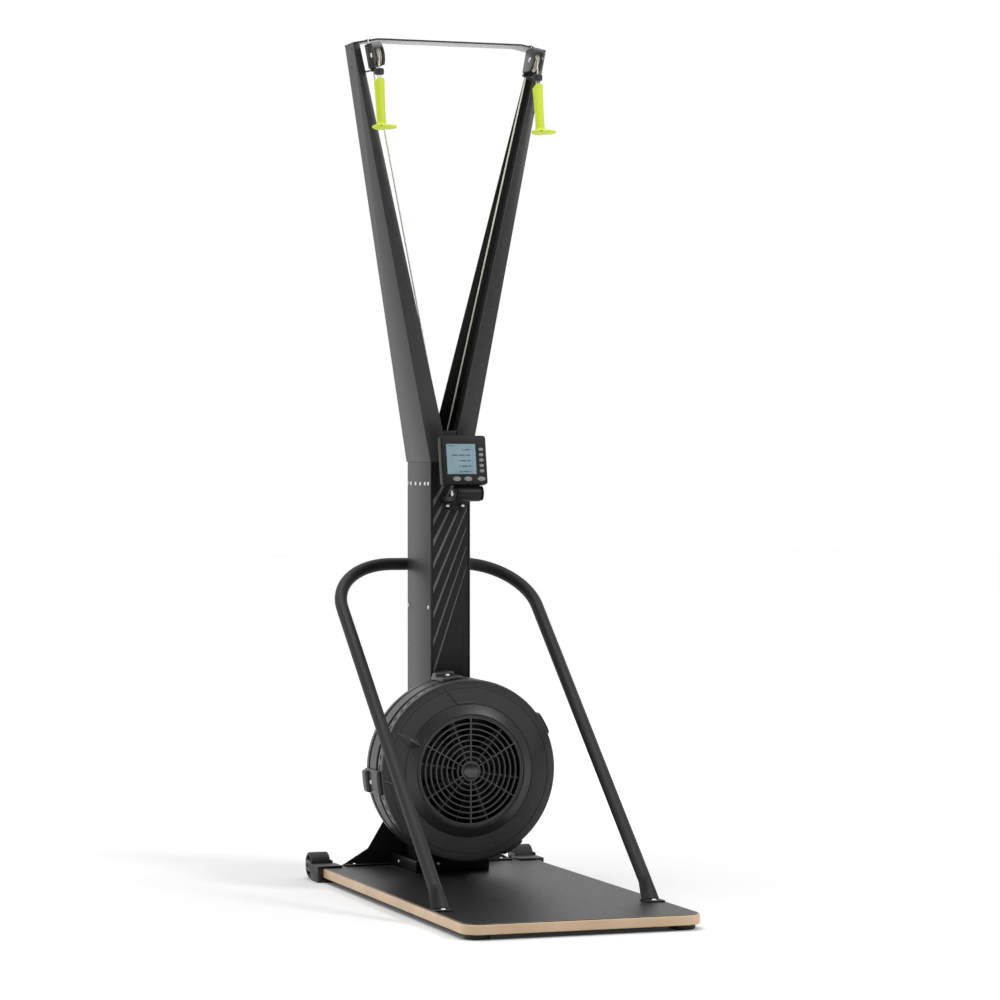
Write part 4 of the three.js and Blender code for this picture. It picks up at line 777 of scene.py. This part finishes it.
def makeBlock(name, sign):
    b, reach = block, swivel["offset"]
    home, body = blockFrame(sign), f"block_{name}"
    axle = home @ facing((0, -reach, 0), sideways)
    bm = bmesh.new()
    addDShape(bm, home, b["radius"], b["rear"], b["top"], b["bottom"], b["half"])
    piece = showPiece(f"pulleyHousing_{name}", bm, blockPlastic, body, [f"pulley_block_{name}"], "black_plastic")
    cutter = bmesh.new()
    addDShape(cutter, home, b["radius"] - b["wall"], b["rear"] + b["wall"], b["top"] - b["roof"], b["bottom"] + 6,
              b["half"] - b["wall"])
    carve(piece, cutter)
    carveBlock(piece, (-b["slot"], -90, -45), (b["slot"], -reach - 6, b["slotTop"]), home, corner=2.5, cornerAxis=1)
    lip = b["wall"] + 0.5
    carveBlock(piece, (-b["half"] + lip, -reach - 8, -45), (b["half"] - lip, -b["rear"] - lip, -20), home)
    softenEdges(piece, 1.1, 3)

    bm = bmesh.new()
    addTurned(bm, [(0, 12), (0, 15), (3.5, 15), (3.5, 30.2), (7.2, 30.2), (8, 29.4), (8, 12)], home, 40)
    addTurned(bm, [(3.3, -38), (4.6, -38), (5, -37.5), (5, -33), (7.6, -31), (8, -30.4), (8, -26), (3.3, -26)],
              home, 40)
    addTurned(bm, [(0, -13.5), (4, -13.5), (4, 13.5), (0, 13.5)], axle, 24)
    showPiece(f"swivelLug_{name}", bm, blockPlastic, body, slot="black_plastic")

    bm = bmesh.new()
    for way in (-1, 1):
        addTurned(bm, [(0, 2.4), (2.4, 2.3), (4.2, 1.9), (5.6, 1.1), (6.3, 0.4), (6.4, 0), (0, 0)],
                  home @ facing((way * b["half"], -reach, 0), (way, 0, 0)), 28)
    addTurned(bm, [(0, 15.3), (3.2, 15.3), (3.2, 43.5), (6.5, 43.5), (6.5, 46.4), (5.6, 47.3), (2.6, 47.5),
                   (2.6, 45.6), (0, 45.6)], home, 24)
    showPiece(f"swivelBolt_{name}", bm, zincBright, body, [f"swivel_bolt_{name}"], "zinc")

    profile = [(4.3, -6), (14, -6), (15, -4.6), (24, -4.6), (25, -6), (27.6, -6), (28, -5.6), (27.9, -4.6),
               (27.4, -3.4)]
    for a in range(-60, 61, 15):
        profile.append((26 - 2.3 * math.cos(math.radians(a)), 2.9 * math.sin(math.radians(a))))
    profile += [(27.4, 3.4), (27.9, 4.6), (28, 5.6), (27.6, 6), (25, 6), (24, 4.6), (15, 4.6), (14, 6), (4.3, 6)]
    showTurned(f"ropeSheave_{name}", profile, axle, 72, sheaveNylon, f"sheave_{name}", [f"sheave_{name}"],
               "sheave_plastic")


def showCord(name, points, body, node):
    bm = bmesh.new()
    addSwept(bm, framesAlong(points), cord["radius"], cord["sides"])
    return showPiece(name, bm, creamCord, body, [node], "cord")


def makeRopes(name, sign):
    s, c = swivel, cord
    home = blockFrame(sign)
    start = math.atan2(-s["bottom"], s["offset"]) + math.acos(s["rope"] / math.hypot(s["offset"], s["bottom"]))
    arc = []
    for i in range(33):
        turn = start + (math.pi - start) * i / 32
        arc.append(mm(0, -s["offset"] + s["rope"] * math.cos(turn), s["rope"] * math.sin(turn)))
    mouth, low = mm(0, 0, -s["bottom"]), mm(0, 0, -s["bottom"] - s["spigot"])
    entry = [low.lerp(mouth, k) for k in (0, 0.7)] + [mouth.lerp(arc[0], k) for k in (0.06, 0.5)]
    showCord(f"sheaveCord_{name}", [home @ point for point in entry + arc], f"block_{name}", f"rope_wrap_{name}")

    x, y, top, bottom = sign * s["x"], s["y"] - s["offset"] - s["rope"], c["fallTop"], c["fallLow"]
    fall = showCord(f"fallCord_{name}", [mm(x, y, top + (bottom - top) * i / 12) for i in range(13)], None,
                    f"rope_fall_{name}")
    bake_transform(fall)

    first = home @ mm(0, 0, -s["bottom"] - s["spigot"] - 0.3) * 1000
    last = Vector((c["spoolX"], c["spoolY"][name], drum["height"]))

    def tangentTurn(point):
        run, rise = sign * point.x - c["guideX"], point.z - c["guideZ"]
        return math.atan2(rise, run), math.acos(c["wrap"] / math.hypot(run, rise))

    turn, lean = tangentTurn(first)
    begin = turn + lean
    turn, lean = tangentTurn(last)
    finish = turn + math.tau - lean
    bend = []
    for i in range(7):
        turn = begin + (finish - begin) * i / 6
        bend.append(Vector((sign * (c["guideX"] + c["wrap"] * math.cos(turn)), c["guideY"],
                            c["guideZ"] + c["wrap"] * math.sin(turn))))
    points = [first.lerp(bend[0], i / 8) for i in range(8)] + bend
    points += [bend[-1].lerp(last, i / 6) for i in range(1, 7)]
    showCord(f"armCord_{name}", [point / 1000 for point in points], "frame", f"rope_run_{name}")


grip = {"y": 285, "stopTop": 2067.8, "stopLow": 2051.8, "top": 2041.8, "lean": 10, "flange": (31, 33),
        "flangeTilt": 1.5}


def makeHandle(name, sign):
    x, y, high, low = sign * swivel["x"], grip["y"], grip["stopTop"], grip["stopLow"]
    body = f"grip_{name}"
    profile = [(0, low - 0.6), (8.6, low - 0.6), (10.8, low), (12, low + 1.6), (12.5, low + 4.2),
               (12.5, high - 4.6), (12, high - 2), (10.8, high - 0.6), (8.6, high), (0, high)]
    showTurned(f"ropeStop_{name}", profile, facing((x, y, 0), upward), 48, rubberBlack, body, [f"rope_stop_{name}"],
               "rubber")
    bm = bmesh.new()
    for way in (-1, 1):
        points = [mm(x + way * (3.4 - 0.9 * k), y, low + 2 - 17 * k) for k in (0, 0.3, 0.6, 1)]
        addSwept(bm, framesAlong(points), 1.2, 10)
    showPiece(f"gripCords_{name}", bm, creamCord, body, slot="cord")

    home = turned(-grip["lean"], "X", (x, y, grip["top"]))
    bm = bmesh.new()
    profile = [(3.4, -6), (3.4, -0.6), (4.2, 0), (11.8, 0), (12.9, -0.5), (13.4, -1.6), (13.4, -4), (13, -22),
               (12.2, -50), (11.6, -84), (11.5, -104), (11.9, -113), (13.2, -119), (16, -123), (20, -125.4),
               (20, -128), (0, -128), (0, -6)]
    addTurned(bm, profile[::-1], home, 56)
    cutAway(bm, home @ mm(-4.5, 0, 0), home.to_3x3() @ Vector((-0.74, 0.1, 0.67)))
    bmesh.ops.holes_fill(bm, edges=[e for e in bm.edges if len(e.link_faces) == 1], sides=0)
    flange = turned(-grip["flangeTilt"], "X", home @ mm(2, -18, -129.5) * 1000)
    disc = [(0, 4), (0.76, 4), (0.88, 3.4), (0.96, 2.2), (0.995, 0.6), (1, -0.6), (0.985, -2), (0.94, -3.2),
            (0.86, -3.9), (0, -4)]
    addTurned(bm, disc, flange @ Matrix.Diagonal((*grip["flange"], 1, 1)), 72)
    showPiece(f"limeHandle_{name}", bm, limeGrip, body, [f"handle_{name}"], "lime", angle=45)
    bm = bmesh.new()
    addScrew(bm, flange @ mm(-16.4, -28, -0.4) * 1000, (-0.5, -0.86, 0), 1.7, 0.8, 0.8)
    showPiece(f"gripPin_{name}", bm, zincDark, body, slot="zinc")


for name, sign in sides:
    makeBlock(name, sign)
    makeRopes(name, sign)
    makeHandle(name, sign)
print("blocks, ropes and handles made")

# ---- monitor
monitor = {"place": (0, 251, 999.8), "lean": 10.2, "left": -60.2, "right": 59.6, "low": 19.2, "high": 144.2,
           "depth": 24, "corner": 7, "barrel": 20.5, "barrelLeft": -21.6, "barrelRight": 43}
screen = {"left": -46.2, "low": 45.4, "size": 77.2, "recess": 2.2, "rows": (22, 50, 37, 34, 34), "letter": 3.1}
# for each kind of key its middles, its half sizes, those of its opening, and the opening's steps
keys = {"side_key": ([(45.3, 108.5 - 13.75 * i) for i in range(5)], (6.2, 4.5), (6.6, 4.9), 40),
        "lower_key": ([(x, 33.1) for x in (-22, 7.6, 42.8)], (10.5, 6), (10.9, 6.4), 48)}
tiltAxis = facing(monitor["place"], sideways)
monitorFrame = turned(-monitor["lean"], "X", monitor["place"])


def ovalFrame(x, z, halves):
    return monitorFrame @ turned(90, "X", (x, -monitor["depth"], z)) @ Matrix.Diagonal((*halves, 1, 1))


def makeMonitor():
    m, home = monitor, monitorFrame
    left, low, size, face = screen["left"], screen["low"], screen["size"], -m["depth"]
    right, top = left + size, low + size
    bm = bmesh.new()
    addBlock(bm, (m["left"], face, m["low"]), (m["right"], 0, m["high"]), home, corner=m["corner"], cornerAxis=1,
             edge=2.6, segments=4)
    housing = showPiece("monitorCase", bm, monitorPlastic, "monitor", ["monitor_housing"], "black_plastic")
    cutter = bmesh.new()
    addBlock(cutter, (left - 0.3, face - 5, low - 0.3), (right + 0.3, face + screen["recess"], top + 0.3), home)
    for middles, halves, opening, steps in keys.values():
        for x, z in middles:
            addTurned(cutter, [(0, -8), (1, -8), (1, 5), (0, 5)], ovalFrame(x, z, opening), steps)
    carve(housing, cutter)
    smoothMesh(housing.data, making["smooth"])

    bm = bmesh.new()
    start, end, r = m["barrelLeft"], m["barrelRight"], m["barrel"]
    addTurned(bm, [(4.3, start + 1.4), (13, start + 1.4), (14.2, start), (r - 2, start), (r - 0.5, start + 0.5),
                   (r, start + 1.6), (r, start + 6), (r - 0.7, start + 6.4), (r - 0.7, start + 7.2), (r, start + 7.6),
                   (r, end - 2), (r - 0.6, end - 0.6), (r - 2, end), (14, end), (13, end - 1.4), (4.3, end - 1.4)],
              home @ facing((0, 0, 0), sideways), 72)
    addBlock(bm, (start + 6, -12, 8), (end - 6, -3, m["low"] + 3), home, edge=1.2)
    showPiece("tiltBarrel", bm, monitorPlastic, "monitor", slot="black_plastic")

    bm = bmesh.new()
    front = face + 0.3
    addBlock(bm, (left, front, low), (right, front + 1.6, top), home, edge=0.2, segments=1)
    showPiece("displayWindow", bm, screenFace, "monitor", ["screen_glass"], "screen")
    bm = bmesh.new()

    def mark(x0, z0, x1, z1, height=0.12):
        addBlock(bm, (x0, front - height, z0), (x1, front - 0.02, z1), home)

    letter = screen["letter"]
    for i, width in enumerate(screen["rows"]):
        z = top - 15 - i * 14
        for k in range(max(int(width / letter), 1)):
            x = right - 14 - k * letter
            if (k + i) % 6 != 5:
                mark(x - 2.5, z - 1.9, x, z + 1.7)
        mark(right - 5.2, z - 1, right - 3.4, z + 0.8)
    for k in range(6):
        x = left + 4 + k * letter
        mark(x, top - 6.6, x + 2.2, top - 4.2)
    mark(left + 24, top - 5.6, right - 9, top - 5.3, 0.1)
    mark(right - 9, low + 6, right - 8.7, top - 5.3, 0.1)
    mark(left + 4, low + 4.4, right - 8.7, low + 4.7, 0.1)
    showPiece("displayRows", bm, screenInk, "monitor", slot="screen")

    profile = [(0, 1.6), (0.55, 1.52), (0.8, 1.3), (0.93, 0.9), (1, 0.2), (1, -5), (0, -5)]
    for kind, (middles, halves, opening, steps) in keys.items():
        for i, (x, z) in enumerate(middles):
            name = f"{kind}_{i + 1}"
            showTurned(f"{name}Cap", profile, ovalFrame(x, z, halves), 48, keyRubber, name, [name], "keys", 50)


def makeStand():
    bm = bmesh.new()
    addBlock(bm, (-22.5, 343.6, 956), (40, 350.4, 987), corner=11, cornerAxis=1, edge=1.6)
    for x in screws["standX"]:
        addTurned(bm, [(0, 0), (9.6, 0), (9.6, 3.6), (8.2, 5.4), (0, 5.4)], facing((x, 345, 968.3), forward), 32)
    addBlock(bm, (-10, 292, 974), (30, 348.5, 982), edge=1)
    for low, high in ((-27.6, -22.8), (44.3, 49.3)):
        addTurned(bm, [(4.2, low), (16.5, low), (17.5, low + 0.6), (18.5, low + 1.6), (18.5, high), (4.2, high)],
                  tiltAxis, 64)
        addBlock(bm, (low + 0.6, 262, 980), (high, 348, 991), edge=0.8, segments=2)
    for k in range(24):
        addBlock(bm, (9.5, -0.9, -28.4), (16, 0.9, -27.1), tiltAxis @ turned(15 * k, "Z"), edge=0.25, segments=1)
    addBlock(bm, (-20, 334, 977), (44, 348.5, 989), edge=1)
    showPiece("monitorSaddle", bm, monitorPlastic, "frame", ["monitor_stand"], "black_paint")
    left, right = -27.9, 49.6
    profile = [(0, left - 1), (2.6, left - 1), (2.9, left - 3), (5.6, left - 2.9), (7.4, left - 1.9),
               (8, left - 0.4), (8, left), (4, left), (4, right), (7, right), (7, right + 2.6), (6.2, right + 3),
               (0, right + 3)]
    showTurned("tiltPin", profile, tiltAxis, 36, zincBright, "frame", ["tilt_bolt"], "zinc")


makeMonitor()
makeStand()
print("monitor made")

# CAD nodes that stay as they are get a worked finish
keptNodes = {fanBlack: ["fan_wheel"], blackPaint: ["spring_carrier"],
             turnedSteel: ["fan_shaft", "front_bearing", "rear_bearing", "spool_left", "spool_right"]}
for material, names in keptNodes.items():
    for node in names:
        nodes[node].data.materials.clear()
        nodes[node].data.materials.append(material)

# ---- floor and light
light = {"behind": 1, "front": 0.07, "floor": 0.84, "floorSize": 30, "near": 0.02, "far": 0.5,
         "glowFrom": 0.7, "glowTo": 3.2, "shadeFrom": -0.4, "shadeTo": 0.3}


def addLight(name, place, aim, size, power):
    data = bpy.data.lights.new(name, "AREA")
    data.shape = "RECTANGLE"
    data.size = data.size_y = size
    data.energy = power
    lamp = linkNew(name, data)
    lamp.location = place
    lamp.rotation_euler = (Vector(aim) - Vector(place)).to_track_quat("-Z", "Y").to_euler()


def makeStudio():
    bm = bmesh.new()
    bmesh.ops.create_grid(bm, x_segments=2, y_segments=2, size=light["floorSize"])
    mesh = bpy.data.meshes.new("paleFloor")
    bm.to_mesh(mesh)
    bm.free()
    material = bpy.data.materials.new("paleFloor")
    material.use_nodes = True
    tree = material.node_tree
    reach = addNode(tree, "VectorMath", {0: objectPlace(tree)}, operation="LENGTH").outputs["Value"]
    # painted light: the floor glows faintly near the machine and more with distance, so it runs into the white
    # backdrop
    glow = addRange(tree, reach, light["glowFrom"], light["glowTo"], light["near"], light["far"], "SMOOTHSTEP")
    fillSockets(tree, tree.nodes["Principled BSDF"], {
        "Base Color": tone((light["floor"], light["floor"])), "Roughness": 0.9, "Specular IOR Level": 0.1,
        "Emission Color": glow, "Emission Strength": 1})
    mesh.materials.append(material)
    linkNew("paleFloor", mesh)
    world = bpy.data.worlds.new("studioWhite")
    world.use_nodes = True
    tree = world.node_tree
    split = addNode(tree, "SeparateXYZ", {"Vector": addNode(tree, "TexCoord").outputs["Generated"]})
    # darker room in front of the machine, white behind it
    shade = addRange(tree, split.outputs["Y"], light["shadeFrom"], light["shadeTo"], light["front"], light["behind"])
    fillSockets(tree, tree.nodes["Background"], {"Color": shade})
    bpy.context.scene.world = world
    addLight("rightSoftbox", (2.8, -3.3, 3.7), (0, 0.1, 0.8), 1.2, 118)
    addLight("topSoftbox", (-0.6, 0.2, 4.9), (0, 0.2, 0), 3.5, 120)
    addLight("leftSoftbox", (-3.8, -1.9, 1.5), (0, 0.2, 0.8), 2.2, 22)


makeStudio()
print("studio made")
